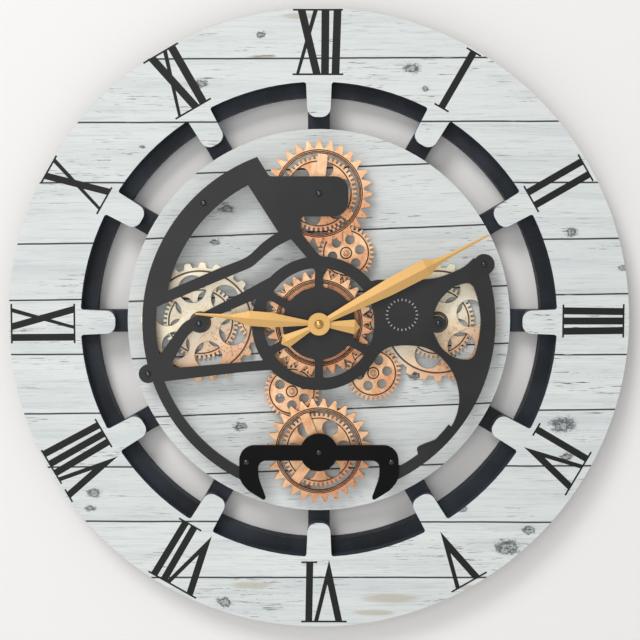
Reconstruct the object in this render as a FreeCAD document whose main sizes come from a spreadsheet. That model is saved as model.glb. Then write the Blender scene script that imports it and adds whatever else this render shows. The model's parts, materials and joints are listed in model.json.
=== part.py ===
# Wooden gear clock for a wall: a round board with twelve tabs held in front of a spoked frame,
# a disc that carries an open gear train, two black plates in front of the gears, two hands,
# and the drives behind. Millimetres. +Z is up, the front faces -Y, and the origin is on the
# wall behind the middle of the hands.

import FreeCAD, Part
import math
import os
import Sketcher

from FreeCAD import Placement, Rotation, Vector

doc = FreeCAD.newDocument("gear_clock")

# Driving dimensions, all lengths.
driving_sizes = [
    # layers, from the wall towards the viewer
    ("wall_gap", 2), ("frame_thick", 18), ("disc_thick", 6), ("board_thick", 15),
    ("foot_gap", 1), ("layer_gap", 1), ("gear_thick", 3), ("ring_thick", 4), ("plate_gap", 4),
    ("plate_thick", 4), ("hand_gap", 4.5), ("hub_thick", 1.6),
    # dial board, from the disc's rim outwards
    ("tab_gap", 11), ("tab_length", 33.5), ("board_width", 69.5), ("tab_root_width", 24.7),
    ("tab_tip_width", 21.7), ("tab_tip_round", 9), ("tab_root_round", 2.5),
    # spoked frame, whose inner ring backs the front plate's rim, and the disc over it
    ("frame_inset", 10), ("frame_lip", 13.5), ("spoke_width", 21.1),
    ("inner_ring_margin", 9), ("inner_ring_width", 38), ("disc_margin", 8),
    # gears
    ("fine_module", 1.53), ("tooth_play", 0.14),
    ("ring_inner_radius", 38.5), ("ring_rim_width", 4.9), ("ring_tooth_height", 7.6),
    ("ring_bar_width", 9.6), ("ring_tooth_foot", 7.1), ("ring_tooth_top", 3),
    ("wheel_hole_circle", 32.9), ("wheel_hole_radius", 13.3), ("wheel_rim_width", 6.6),
    ("wheel_tooth_height", 5.2), ("wheel_tooth_foot", 8.5), ("wheel_tooth_top", 6.1),
    ("train_hole_radius", 7.7), ("train_hole_circle", 23.9),
    ("small_hole_radius", 4.4), ("small_hole_circle", 13.5),
    ("gear_hub_radius", 8.7), ("small_hub_radius", 4.9), ("boss_height", 0.7),
    # axles, pins and fits
    ("axle_radius", 4), ("axle_foot_radius", 7), ("collar_radius", 6.5), ("pin_radius", 2.5),
    ("pin_foot_radius", 5), ("pin_head_radius", 3.3), ("pin_head_thick", 1),
    ("output_radius", 2.2), ("running_fit", 0.06), ("end_play", 0.3), ("hole_clearance", 0.15),
    # screws
    ("screw_radius", 1.5), ("screw_head_radius", 2.9), ("screw_head_top", 2), ("screw_head_height", 1.8),
    ("screw_bite", 3), ("rear_bite", 4), ("rear_head_thick", 1),
    # front plate
    ("plate_margin", 54.25), ("band_width", 21), ("arm_width", 10.3), ("cut_margin", 13),
    ("window_inner_radius", 34.8), ("window_depth", 18.3), ("plate_ring_width", 11.2),
    ("plate_spoke_width", 7.7), ("window_round", 2.7),
    ("right_lobe_radius", 10), ("left_lobe_radius", 8.9), ("left_lug_radius", 8.8),
    ("hub_bump_radius", 6.7), ("arm_end_radius", 6.1), ("arm_neck_width", 9),
    # lower bracket
    ("bracket_screw_side", 69.7), ("bracket_ear_margin", 6.9), ("bracket_ear_drop", 9.3),
    ("bracket_disc_radius", 18.2), ("spacer_radius", 5),
    # centre arbor
    ("sleeve_radius", 5.5), ("sleeve_neck_radius", 4.4), ("sleeve_flange_radius", 8.5),
    ("stud_radius", 4), ("stud_height", 2.4), ("hour_tube_radius", 2.5), ("hour_tube_depth", 3),
    ("minute_shaft_radius", 1.5), ("centre_spacer_radius", 8), ("plate_nut_radius", 7),
    ("plate_nut_thick", 1.8), ("hand_nut_radius", 4.3), ("hand_nut_height", 3), ("shaft_stub", 2),
    ("knob_radius", 6), ("knob_thick", 3), ("knob_gap", 0.6),
    # hands
    ("hour_length", 118.6), ("hour_width", 14.5), ("minute_length", 181.8), ("minute_width", 17),
    ("hand_edge", 0.8), ("ridge_height", 1.4), ("hand_hub_radius", 10.7),
    # drives behind the disc
    ("movement_wall", 2.4), ("cell_back_gap", 0.3), ("motor_room", 17.2), ("gearbox_height", 15.2),
    ("drive_depth", 18), ("output_inset", 8), ("output_depth", 6), ("case_wall", 1.6),
    ("cell_radius", 7.1), ("cell_length", 49.4), ("cell_nub_radius", 2.7), ("cell_nub_length", 1),
    ("cell_room", 0.4), ("cell_skin", 0.5),
    # hanger and wall pads
    ("hanger_width", 54), ("hanger_height", 24), ("hanger_thick", 0.8), ("keyhole_radius", 4.8),
    ("keyhole_slot_width", 5), ("keyhole_rise", 6.5), ("recess_depth", 6), ("recess_margin", 1.5),
    ("hanger_screw_side", 21), ("pad_radius", 10), ("overrun", 2),
]

sizes = doc.addObject("Spreadsheet::Sheet", "sizes")


def fill_sheet(first_row, named_values):
    for row, (alias, value) in enumerate(named_values, first_row):
        sizes.set(f"A{row}", alias.replace("_", " "))
        sizes.set(f"B{row}", str(value))
        sizes.setAlias(f"B{row}", alias)
    doc.recompute()


fill_sheet(1, driving_sizes)

# Counts, angles and shares, which have no length.
hours = 12
pressure_angle = math.radians(20)
addendum_share = 0.8
dedendum_share = 1.15
centre_teeth, train_teeth, small_teeth, idler_teeth, pinion_teeth = 60, 48, 34, 21, 12
ring_teeth, wheel_teeth = 28, 24
touching_share = 1e-6
gear_holes = 6
ring_bars = 3
window_count = 6
pad_count = 4
upper_small_side = math.radians(68.6706)
right_small_side = math.radians(317)
pinion_side = math.radians(225)
minute_side = math.radians(27.8)
hour_side = math.radians(175.3)


def size(alias):
    return float(sizes.get(alias))


def pitch_radius(teeth):
    return size("fine_module") * teeth / 2


def mesh_distance(teeth, other_teeth):
    return pitch_radius(teeth) + pitch_radius(other_teeth)


# The gear train sets the axles' distances, and the plates, disc, frame and board go round it.
small_distance = mesh_distance(centre_teeth, small_teeth)
idler_distance = mesh_distance(centre_teeth, idler_teeth)
side_distance = idler_distance + mesh_distance(idler_teeth, train_teeth)
small_shift = small_distance * math.cos(upper_small_side)
top_height = (small_distance * math.sin(upper_small_side)
              + math.sqrt(mesh_distance(small_teeth, train_teeth)**2 - small_shift**2))
plate_reach = side_distance + size("plate_margin")
inner_ring_radius = plate_reach + size("inner_ring_margin")
disc_radius = inner_ring_radius + size("disc_margin")
tab_reach = disc_radius + size("tab_gap")
board_opening = tab_reach + size("tab_length")
board_radius = board_opening + size("board_width")
ring_root_radius = size("ring_inner_radius") + size("ring_rim_width")
wheel_root_radius = size("wheel_hole_circle") + size("wheel_hole_radius") + size("wheel_rim_width")
window_outer_radius = size("window_inner_radius") + size("window_depth")
bay_width = size("cell_length") + size("cell_nub_length") + 2 * size("cell_room")
bay_height = 2 * (size("cell_radius") + size("cell_room"))
derived_sizes = [
    ("top_axle_height", top_height), ("plate_reach", plate_reach),
    ("inner_ring_radius", inner_ring_radius),
    ("inner_ring_opening", inner_ring_radius - size("inner_ring_width")),
    ("disc_radius", disc_radius), ("tab_reach", tab_reach),
    ("board_opening", board_opening), ("board_radius", board_radius),
    ("frame_opening", board_opening - size("frame_lip")),
    ("frame_radius", board_radius - size("frame_inset")),
    ("ring_root_radius", ring_root_radius),
    ("ring_tip_radius", ring_root_radius + size("ring_tooth_height")),
    ("wheel_root_radius", wheel_root_radius),
    ("wheel_tip_radius", wheel_root_radius + size("wheel_tooth_height")),
    ("arm_inner_radius", plate_reach - size("arm_width")),
    ("band_inner_radius", plate_reach - size("band_width")),
    ("cut_reach", plate_reach - size("cut_margin")),
    ("window_outer_radius", window_outer_radius),
    ("plate_ring_radius", window_outer_radius + size("plate_ring_width")),
    ("bracket_reach", size("bracket_screw_side") + size("bracket_ear_margin")),
    ("bracket_screw_drop", top_height + size("bracket_ear_drop")),
    ("movement_side", bay_width + 2 * size("movement_wall")),
    ("movement_depth", 2 * size("cell_radius") + size("cell_back_gap") + size("cell_skin")),
    ("drive_width", bay_width + size("case_wall") + size("motor_room")),
    ("drive_height", 2 * bay_height + 3 * size("case_wall") + size("gearbox_height")),
]
fill_sheet(len(driving_sizes) + 1, [(alias, round(value, 6)) for alias, value in derived_sizes])


# A stack is a tuple of sizes that add up; one with a minus sign is taken away.
def number(stack):
    return sum(-size(alias[1:]) if alias[0] == "-" else size(alias) for alias in stack)


def formula(*stack):
    terms = [f"- sizes.{alias[1:]}" if alias[0] == "-" else f"+ sizes.{alias}" for alias in stack]
    return " ".join(terms).removeprefix("+ ") or "0"


def between(low, high):
    return formula(*high[len(low):])


frame_back = ("wall_gap",)
disc_back = frame_back + ("frame_thick",)
disc_front = disc_back + ("disc_thick",)
deep_back = disc_front + ("foot_gap",)
deep_front = deep_back + ("gear_thick",)
wheel_back = deep_front + ("layer_gap",)
wheel_front = wheel_back + ("gear_thick",)
fine_back = wheel_front + ("layer_gap",)
fine_front = fine_back + ("gear_thick",)
ring_back = fine_front + ("layer_gap",)
ring_front = ring_back + ("ring_thick",)
plate_back = ring_front + ("plate_gap",)
plate_front = plate_back + ("plate_thick",)
bracket_front = plate_front + ("plate_thick",)
hour_back = plate_front + ("hand_gap",)
hour_front = hour_back + ("hub_thick",)
minute_back = hour_front + ("layer_gap",)
minute_front = minute_back + ("hub_thick",)

nodes = []


# A piece is drawn as seen from the front, its back at zero, and then stood up in its layer.
def stand(piece, name, back, x=0, up=0, side=0):
    piece.Label = name
    upright = Rotation(Vector(1, 0, 0), 90)
    piece.Placement = Placement(Vector(x, 0, up), upright * Rotation(Vector(0, 0, 1), math.degrees(side)))
    piece.setExpression("Placement.Base.y", "-(" + formula(*back) + ")")
    nodes.append(piece)


def rod(name, radius, length, start=None, x=0, y=0):
    bar = doc.addObject("Part::Cylinder", name)
    bar.setExpression("Radius", radius)
    bar.setExpression("Height", length)
    bar.Placement.Base = Vector(x, y, 0)
    if start:
        bar.setExpression("Placement.Base.z", start)
    return bar


def block(name, width, height, depth, x, y, start=None):
    box = doc.addObject("Part::Box", name)
    box.setExpression("Length", width)
    box.setExpression("Width", height)
    box.setExpression("Height", depth)
    box.Placement.Base = Vector(x, y, 0)
    if start:
        box.setExpression("Placement.Base.z", start)
    return box


def fused(name, pieces):
    joined = doc.addObject("Part::MultiFuse", name)
    joined.Shapes = pieces
    joined.Refine = True
    return joined


def cut(name, base, tool):
    left = doc.addObject("Part::Cut", name)
    left.Base = base
    left.Tool = tool
    return left


def group(name, pieces):
    several = doc.addObject("Part::Compound", name)
    several.Links = pieces
    return several


def tube(name, radius, bore, length, start=None, x=0, y=0):
    return cut(name, rod(name + "_bar", radius, length, start, x, y),
               rod(name + "_bore", bore, length, start, x, y))


# A flat piece is a face, extruded.
def slab(name, face, thickness, start=None):
    profile = doc.addObject("Part::Feature", name + "_profile")
    profile.Shape = face
    plate = doc.addObject("Part::Extrusion", name)
    plate.Base = profile
    plate.DirMode = "Custom"
    plate.Dir = Vector(0, 0, 1)
    plate.Solid = True
    plate.setExpression("LengthFwd", thickness)
    if start:
        plate.setExpression("Placement.Base.z", start)
    return plate


def polar(radius, angle):
    return radius * math.cos(angle), radius * math.sin(angle)


def circle(radius, x=0, y=0):
    return Part.Wire(Part.makeCircle(radius, Vector(x, y, 0)))


def disc_face(radius, x=0, y=0):
    return Part.Face(circle(radius, x, y))


def polygon_face(points):
    corners = [Vector(x, y, 0) for x, y in points]
    return Part.Face(Part.makePolygon(corners + corners[:1]))


def rectangle_face(left, right, low, high):
    return polygon_face([(left, low), (right, low), (right, high), (left, high)])


def holes_around(radius, circle_radius, count, phase):
    return [disc_face(radius, *polar(circle_radius, phase + turn * 2 * math.pi / count))
            for turn in range(count)]


def pierced(face, holes):
    return face.cut(holes).removeSplitter().Faces[0]


# Twice the area inside an outline, negative where it runs clockwise.
def turning(corner_shares):
    pairs = zip(corner_shares, corner_shares[1:] + corner_shares[:1])
    return sum(here[0] * there[1] - there[0] * here[1] for here, there in pairs)


# An outline of corners: across share, up share, and how round the corner is, from 0 to 1.
# All faces look forwards, so that they join into one.
def rounded_face(corner_shares, reach):
    if turning(corner_shares) < 0:
        corner_shares = corner_shares[::-1]
    corners = [Vector(across * reach, up * reach, 0) for across, up, _ in corner_shares]
    bends = []
    for place, corner in enumerate(corners):
        before = corners[place - 1] - corner
        after = corners[(place + 1) % len(corners)] - corner
        setback = corner_shares[place][2] * min(before.Length, after.Length) / 2
        if setback == 0:
            bends.append((corner, None, corner))
            continue
        half_turn = before.getAngle(after) / 2
        before.normalize()
        after.normalize()
        inward = (before + after).normalize()
        bulge = setback / math.cos(half_turn) - setback * math.tan(half_turn)
        bends.append((corner + before * setback, corner + inward * bulge, corner + after * setback))
    edges = []
    for place, (arrive, middle, leave) in enumerate(bends):
        start = bends[place - 1][2]
        if start.distanceToPoint(arrive) > touching_share * reach:
            edges.append(Part.makeLine(start, arrive))
        if middle:
            edges.append(Part.Arc(arrive, middle, leave).toShape())
    return Part.Face(Part.Wire(edges))


def ring_sector(outer, inner, first, last):
    middle = (first + last) / 2
    rim = Part.Arc(*[Vector(*polar(outer, angle), 0) for angle in (first, middle, last)]).toShape()
    back = Part.Arc(*[Vector(*polar(inner, angle), 0) for angle in (last, middle, first)]).toShape()
    ends = [Part.makeLine(Vector(*polar(outer, last), 0), Vector(*polar(inner, last), 0)),
            Part.makeLine(Vector(*polar(inner, first), 0), Vector(*polar(outer, first), 0))]
    return Part.Face(Part.Wire([rim, ends[0], back, ends[1]]))


# Sketches for the bodies that are padded and patterned.
def plane_of(body, role):
    return next(plane for plane in body.Origin.OriginFeatures if plane.Role == role)


def new_body(name):
    return doc.addObject("PartDesign::Body", name)


def new_sketch(body, name):
    sketch = body.newObject("Sketcher::SketchObject", name)
    sketch.AttachmentSupport = [(plane_of(body, "XY_Plane"), "")]
    sketch.MapMode = "FlatFace"
    return sketch


def sketch_circle(sketch, radius_stack, x=0, y=0):
    curve = Part.Circle(Vector(x, y, 0), Vector(0, 0, 1), number(radius_stack))
    index = sketch.addGeometry(curve, False)
    if x == 0 and y == 0:
        sketch.addConstraint(Sketcher.Constraint("Coincident", index, 3, -1, 1))
    else:
        sketch.addConstraint(Sketcher.Constraint("DistanceX", -1, 1, index, 3, x))
        sketch.addConstraint(Sketcher.Constraint("DistanceY", -1, 1, index, 3, y))
    radius = sketch.addConstraint(Sketcher.Constraint("Radius", index, number(radius_stack)))
    sketch.setExpression(f"Constraints[{radius}]", formula(*radius_stack))


# A tapered limb along +Y, even about the Y axis, between two distances from the middle.
def sketch_limb(sketch, foot_width, foot_distance, tip_width, tip_distance):
    foot, tip = number(foot_width) / 2, number(tip_width) / 2
    low, high = number(tip_distance), number(foot_distance)
    points = [(-foot, high), (foot, high), (tip, low), (-tip, low)]
    corners = [Vector(x, y, 0) for x, y in points]
    lines = [Part.LineSegment(corners[i], corners[(i + 1) % 4]) for i in range(4)]
    sketch.addGeometry(lines, False)
    for i in range(4):
        sketch.addConstraint(Sketcher.Constraint("Coincident", i, 2, (i + 1) % 4, 1))
    sketch.addConstraint(Sketcher.Constraint("Symmetric", 0, 1, 0, 2, -2))
    sketch.addConstraint(Sketcher.Constraint("Symmetric", 2, 1, 2, 2, -2))
    for line, width in ((0, foot_width), (2, tip_width)):
        start, end = (1, 2) if line == 0 else (2, 1)
        held = sketch.addConstraint(
            Sketcher.Constraint("DistanceX", line, start, line, end, number(width)))
        sketch.setExpression(f"Constraints[{held}]", formula(*width))
    for line, distance in ((0, foot_distance), (2, tip_distance)):
        held = sketch.addConstraint(
            Sketcher.Constraint("DistanceY", -1, 1, line, 1, number(distance)))
        sketch.setExpression(f"Constraints[{held}]", formula(*distance))


def pad(body, name, sketch, thickness):
    raised = body.newObject("PartDesign::Pad", name)
    raised.Profile = sketch
    raised.setExpression("Length", thickness)
    return raised


def polar_pattern(body, name, feature, count):
    pattern = body.newObject("PartDesign::PolarPattern", name)
    pattern.Originals = [feature]
    pattern.Axis = (plane_of(body, "Z_Axis"), [""])
    pattern.Angle = 360
    pattern.Occurrences = count
    body.Tip = pattern
    return pattern


# Names of the edges that stand upright at a given distance from the middle.
def upright_edges(shape, distance, slack):
    names = []
    for count, edge in enumerate(shape.Edges, 1):
        low, high = edge.BoundBox.ZMin, edge.BoundBox.ZMax
        leaning = max(edge.BoundBox.XLength, edge.BoundBox.YLength) > slack / 10
        reach = math.hypot(edge.CenterOfMass.x, edge.CenterOfMass.y)
        if high - low > slack and not leaning and abs(reach - distance) < slack:
            names.append(f"Edge{count}")
    return names


def fillet(body, name, feature, edge_names, radius):
    rounded = body.newObject("PartDesign::Fillet", name)
    rounded.Base = (feature, edge_names)
    rounded.setExpression("Radius", radius)
    body.Tip = rounded
    return rounded


# Dial board: a ring with a tab at each hour, rounded at its tip and at its root.
def make_dial_board():
    body = new_body("dial_board")
    ring = new_sketch(body, "board_ring")
    sketch_circle(ring, ("board_radius",))
    sketch_circle(ring, ("board_opening",))
    pad(body, "board_pad", ring, formula("board_thick"))
    tab = new_sketch(body, "board_tab")
    sketch_limb(tab, ("tab_root_width",), ("board_opening", "overrun"), ("tab_tip_width",), ("tab_reach",))
    one_tab = pad(body, "tab_pad", tab, formula("board_thick"))
    tabs = polar_pattern(body, "board_tabs", one_tab, hours)
    doc.recompute()
    tip_corner = math.hypot(size("tab_reach"), size("tab_tip_width") / 2)
    tips = upright_edges(tabs.Shape, tip_corner, size("tab_root_round"))
    round_tips = fillet(body, "tab_tips", tabs, tips, formula("tab_tip_round"))
    doc.recompute()
    roots = upright_edges(round_tips.Shape, size("board_opening"), size("tab_root_round"))
    fillet(body, "tab_roots", round_tips, roots, formula("tab_root_round"))
    stand(body, "dial_board", disc_back)


# Places of the axles, pins and screws, as seen from the front.
lower_small_side = upper_small_side + math.pi
train_axles = {"top": (0, top_height), "bottom": (0, -top_height),
               "left": (-side_distance, 0), "right": (side_distance, 0)}
small_pins = {"upper": polar(small_distance, upper_small_side),
              "right": polar(small_distance, right_small_side),
              "lower": polar(small_distance, lower_small_side)}
idler_pins = {"left": (-idler_distance, 0), "right": (idler_distance, 0)}
drive_output = polar(mesh_distance(centre_teeth, pinion_teeth), pinion_side)

# Screw places on the front plate, as shares of its reach.
plate_screw_shares = [(-0.649, 0.680), (0.933, 0.334), (-0.970, -0.287)]
plate_screws = [(across * size("plate_reach"), up * size("plate_reach"))
                for across, up in plate_screw_shares]
bracket_screws = [(side * size("bracket_screw_side"), -size("bracket_screw_drop")) for side in (-1, 1)]

# The drive case has its output near its upper right corner and a screw in two other corners.
drive_right = drive_output[0] + size("output_inset")
drive_top = drive_output[1] + size("output_inset")
drive_left = drive_right - size("drive_width")
drive_bottom = drive_top - size("drive_height")
drive_screws = [(drive_left + size("output_inset"), drive_output[1]),
                (drive_output[0], drive_bottom + size("output_inset"))]
ring_middle = (size("frame_radius") + size("frame_opening")) / 2


# The hanger's recess is cut from behind, and screws pass through the inner ring.
def make_spoked_frame():
    body = new_body("spoked_frame")
    ring = new_sketch(body, "frame_ring")
    sketch_circle(ring, ("frame_radius",))
    sketch_circle(ring, ("frame_opening",))
    for side in (-1, 1):
        sketch_circle(ring, ("screw_radius", "hole_clearance"),
                      side * size("hanger_screw_side"), ring_middle)
    pad(body, "frame_pad", ring, formula("frame_thick"))
    spoke = new_sketch(body, "frame_spoke")
    sketch_limb(spoke, ("spoke_width",), ("frame_opening", "overrun"),
                ("spoke_width",), ("inner_ring_radius", "-overrun"))
    one_spoke = pad(body, "spoke_pad", spoke, formula("frame_thick"))
    polar_pattern(body, "frame_spokes", one_spoke, hours)
    inner = new_sketch(body, "frame_inner_ring")
    sketch_circle(inner, ("inner_ring_radius",))
    sketch_circle(inner, ("inner_ring_opening",))
    for x, y in plate_screws + bracket_screws:
        sketch_circle(inner, ("screw_radius", "hole_clearance"), x, y)
    inner_pad = pad(body, "inner_ring_pad", inner, formula("frame_thick"))
    body.Tip = inner_pad
    for count, rise in enumerate((0, size("keyhole_rise"))):
        recess = new_sketch(body, f"hanger_recess_{count}")
        sketch_circle(recess, ("keyhole_radius", "recess_margin"), 0, ring_middle + rise)
        pocket = body.newObject("PartDesign::Pocket", f"recess_pocket_{count}")
        pocket.Profile = recess
        pocket.Reversed = True
        pocket.setExpression("Length", formula("recess_depth"))
        body.Tip = pocket
    stand(body, "spoked_frame", frame_back)


def make_inner_disc():
    body = new_body("inner_disc")
    sketch = new_sketch(body, "disc_outline")
    sketch_circle(sketch, ("disc_radius",))
    sketch_circle(sketch, ("stud_radius", "hole_clearance"))
    sketch_circle(sketch, ("output_radius", "hole_clearance"), *drive_output)
    for x, y in plate_screws + bracket_screws + drive_screws:
        sketch_circle(sketch, ("screw_radius", "hole_clearance"), x, y)
    pad(body, "disc_pad", sketch, formula("disc_thick"))
    stand(body, "inner_disc", disc_back)


# Gear teeth. A fine tooth has straight flanks that lie inside the involute, so gears at their
# proper distance never touch beyond the pitch point.
def involute(angle):
    return math.tan(angle) - angle


def fine_gear_face(teeth, phase):
    pitch = pitch_radius(teeth)
    base = pitch * math.cos(pressure_angle)
    tip = pitch + addendum_share * size("fine_module")
    root = pitch - dedendum_share * size("fine_module")
    at_pitch = math.pi / (2 * teeth) - size("tooth_play") / (2 * pitch) + involute(pressure_angle)
    tip_half = at_pitch - involute(math.acos(base / tip))
    root_half = at_pitch - involute(math.acos(min(1, base / root)))
    points = []
    for tooth in range(teeth):
        middle = phase + tooth * 2 * math.pi / teeth
        points += [polar(root, middle - root_half), polar(tip, middle - tip_half),
                   polar(tip, middle + tip_half), polar(root, middle + root_half)]
    return polygon_face(points)


# A coarse tooth is given by its width at the foot and at the top.
def coarse_gear_face(teeth, phase, tip, root, foot, top):
    points = []
    for tooth in range(teeth):
        middle = phase + tooth * 2 * math.pi / teeth
        foot_half, top_half = foot / (2 * root), top / (2 * tip)
        points += [polar(root, middle - foot_half), polar(tip, middle - top_half),
                   polar(tip, middle + top_half), polar(root, middle + foot_half)]
    return polygon_face(points)


# Turn of a gear whose teeth fit between those of a gear that it meshes with.
def meshed_phase(place, teeth, phase, other_place, other_teeth):
    towards = math.atan2(other_place[1] - place[1], other_place[0] - place[0])
    past_tooth = (towards - phase) * teeth / (2 * math.pi)
    other_past_tooth = 0.5 - past_tooth
    return towards + math.pi - other_past_tooth * 2 * math.pi / other_teeth


centre_place = (0, 0)
centre_phase = math.radians(1.5)
small_phases = {side: meshed_phase(centre_place, centre_teeth, centre_phase, place, small_teeth)
                for side, place in small_pins.items()}
idler_phases = {side: meshed_phase(centre_place, centre_teeth, centre_phase, place, idler_teeth)
                for side, place in idler_pins.items()}
pinion_phase = meshed_phase(centre_place, centre_teeth, centre_phase, drive_output, pinion_teeth)
train_phases = {
    "top": meshed_phase(small_pins["upper"], small_teeth, small_phases["upper"],
                        train_axles["top"], train_teeth),
    "bottom": meshed_phase(small_pins["lower"], small_teeth, small_phases["lower"],
                           train_axles["bottom"], train_teeth),
    "left": meshed_phase(idler_pins["left"], idler_teeth, idler_phases["left"],
                         train_axles["left"], train_teeth),
    "right": meshed_phase(idler_pins["right"], idler_teeth, idler_phases["right"],
                          train_axles["right"], train_teeth),
}


def bore_of(shaft_alias):
    return disc_face(size(shaft_alias) + size("running_fit"))


def hub(name, shaft_alias, hub_alias, length, start):
    return tube(name, formula(hub_alias), formula(shaft_alias, "running_fit"), length, start)


# Coarse ring on three flat bars, with a hub that reaches back to the fine gear behind it.
def make_ring_gear(name, shaft_alias, place, tooth_phase, bar_phase):
    face = coarse_gear_face(ring_teeth, tooth_phase, size("ring_tip_radius"), size("ring_root_radius"),
                            size("ring_tooth_foot"), size("ring_tooth_top"))
    face = pierced(face, [disc_face(size("ring_inner_radius"))])
    half_bar = size("ring_bar_width") / 2
    reach = size("ring_inner_radius") + (size("ring_root_radius") - size("ring_inner_radius")) / 2
    bar = rectangle_face(0, reach, -half_bar, half_bar)
    bars = []
    for turn in range(ring_bars):
        turned_bar = bar.copy()
        turned_bar.rotate(Vector(0, 0, 0), Vector(0, 0, 1), math.degrees(bar_phase) + turn * 360 / ring_bars)
        bars.append(turned_bar)
    face = face.fuse(bars + [disc_face(size("gear_hub_radius"))]).removeSplitter()
    face = pierced(face, [bore_of(shaft_alias)])
    plate = slab(name + "_plate", face, between(ring_back, ring_front), between(fine_front, ring_back))
    back_hub = hub(name + "_hub", shaft_alias, "gear_hub_radius", between(fine_front, ring_back), None)
    stand(fused(name, [plate, back_hub]), name, fine_front, *place)


def make_train_gear(name, back, front, place, phase, holes):
    face = fine_gear_face(train_teeth, phase)
    stand(slab(name, pierced(face, holes + [bore_of("axle_radius")]), between(back, front)),
          name, back, *place)


def train_holes(phase):
    return holes_around(size("train_hole_radius"), size("train_hole_circle"), gear_holes, phase)


# Broad wheel with stub teeth, its hub reaching back to the fine gear behind it.
def make_side_wheel(name, place, tooth_phase, hole_phase):
    face = coarse_gear_face(wheel_teeth, tooth_phase, size("wheel_tip_radius"), size("wheel_root_radius"),
                            size("wheel_tooth_foot"), size("wheel_tooth_top"))
    holes = holes_around(size("wheel_hole_radius"), size("wheel_hole_circle"), gear_holes, hole_phase)
    face = pierced(face, holes + [bore_of("axle_radius")])
    plate = slab(name + "_plate", face, between(wheel_back, wheel_front), between(deep_front, wheel_back))
    through = wheel_front + ("boss_height",)
    middle = hub(name + "_hub", "axle_radius", "gear_hub_radius", between(deep_front, through), None)
    stand(fused(name, [plate, middle]), name, deep_front, *place)


def make_small_gear(name, place, phase, hole_phase):
    face = fine_gear_face(small_teeth, phase)
    holes = holes_around(size("small_hole_radius"), size("small_hole_circle"), gear_holes, hole_phase)
    plate = slab(name + "_plate", pierced(face, holes + [bore_of("pin_radius")]), between(fine_back, fine_front))
    boss = hub(name + "_boss", "pin_radius", "small_hub_radius",
               formula("gear_thick", "boss_height"), None)
    stand(fused(name, [plate, boss]), name, fine_back, *place)


def make_gears():
    drive = pierced(fine_gear_face(centre_teeth, centre_phase), [bore_of("sleeve_radius")])
    stand(slab("centre_drive_gear", drive, between(deep_back, fine_front)), "centre_drive_gear", deep_back)
    make_ring_gear("centre_ring_gear", "sleeve_radius", centre_place, math.radians(2), math.radians(84))
    make_train_gear("top_fine_gear", fine_back, fine_front, train_axles["top"],
                    train_phases["top"], train_holes(math.radians(15)))
    make_ring_gear("top_ring_gear", "axle_radius", train_axles["top"], math.radians(5), math.radians(84))
    make_train_gear("bottom_fine_gear", fine_back, fine_front, train_axles["bottom"],
                    train_phases["bottom"], train_holes(math.radians(3)))
    make_ring_gear("bottom_ring_gear", "axle_radius", train_axles["bottom"], math.radians(1), math.radians(112))
    for side, hole_phase, tooth_phase in (("left", 45, 5), ("right", 15, 3)):
        make_train_gear(f"{side}_fine_gear", deep_back, deep_front, train_axles[side],
                        train_phases[side], [])
        make_side_wheel(f"{side}_wheel", train_axles[side], math.radians(tooth_phase), math.radians(hole_phase))
    for side, hole_phase in (("upper", 17), ("right", 8), ("lower", 30)):
        make_small_gear(f"{side}_small_gear", small_pins[side], small_phases[side], math.radians(hole_phase))
    for side in ("left", "right"):
        face = pierced(fine_gear_face(idler_teeth, idler_phases[side]), [bore_of("pin_radius")])
        stand(slab(f"{side}_idler", face, between(deep_back, deep_front)), f"{side}_idler",
              deep_back, *idler_pins[side])


# The motor's pinion and its output shaft, which turns in the drive case and the disc.
def make_motor_pinion():
    shaft_back = disc_back + ("-output_depth",)
    teeth = slab("pinion_teeth", fine_gear_face(pinion_teeth, pinion_phase), between(deep_back, deep_front),
                 formula("output_depth", "disc_thick", "foot_gap"))
    shaft = rod("pinion_shaft", formula("output_radius"), formula("output_depth", "disc_thick", "foot_gap"))
    stand(fused("motor_pinion", [teeth, shaft]), "motor_pinion", shaft_back, *drive_output)


# Axles stand on the disc. A foot carries the gears and a thin end passes the collar.
def make_axles():
    feet = {"top": fine_back, "bottom": fine_back, "left": deep_back, "right": deep_back}
    ends = {"top": plate_back, "bottom": plate_front, "left": plate_back, "right": plate_back}
    gears = {"top": ring_front, "bottom": ring_front, "left": wheel_front + ("boss_height",),
             "right": wheel_front + ("boss_height",)}
    axles, collars = [], []
    for side, place in train_axles.items():
        foot = rod(f"{side}_axle_foot", formula("axle_foot_radius"),
                   between(disc_front, feet[side]) + " - sizes.end_play", None, *place)
        shaft = rod(f"{side}_axle_shaft", formula("axle_radius"), between(disc_front, ends[side]), None, *place)
        grip = rod(f"{side}_axle_thread", formula("screw_radius", "hole_clearance"), formula("screw_bite"),
                   between(disc_front, ends[side]) + " - sizes.screw_bite", *place)
        axles.append(cut(f"{side}_axle", fused(f"{side}_axle_bar", [foot, shaft]), grip))
        start = between(disc_front, gears[side]) + " + sizes.end_play"
        room = formula(*ends[side][len(disc_front):]) + " - (" + start + ")"
        collars.append(tube(f"{side}_collar", formula("collar_radius"), formula("axle_radius"), room,
                            start, *place))
    stand(group("gear_axles", axles), "gear_axles", disc_front)
    stand(group("axle_collars", collars), "axle_collars", disc_front)


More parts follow.
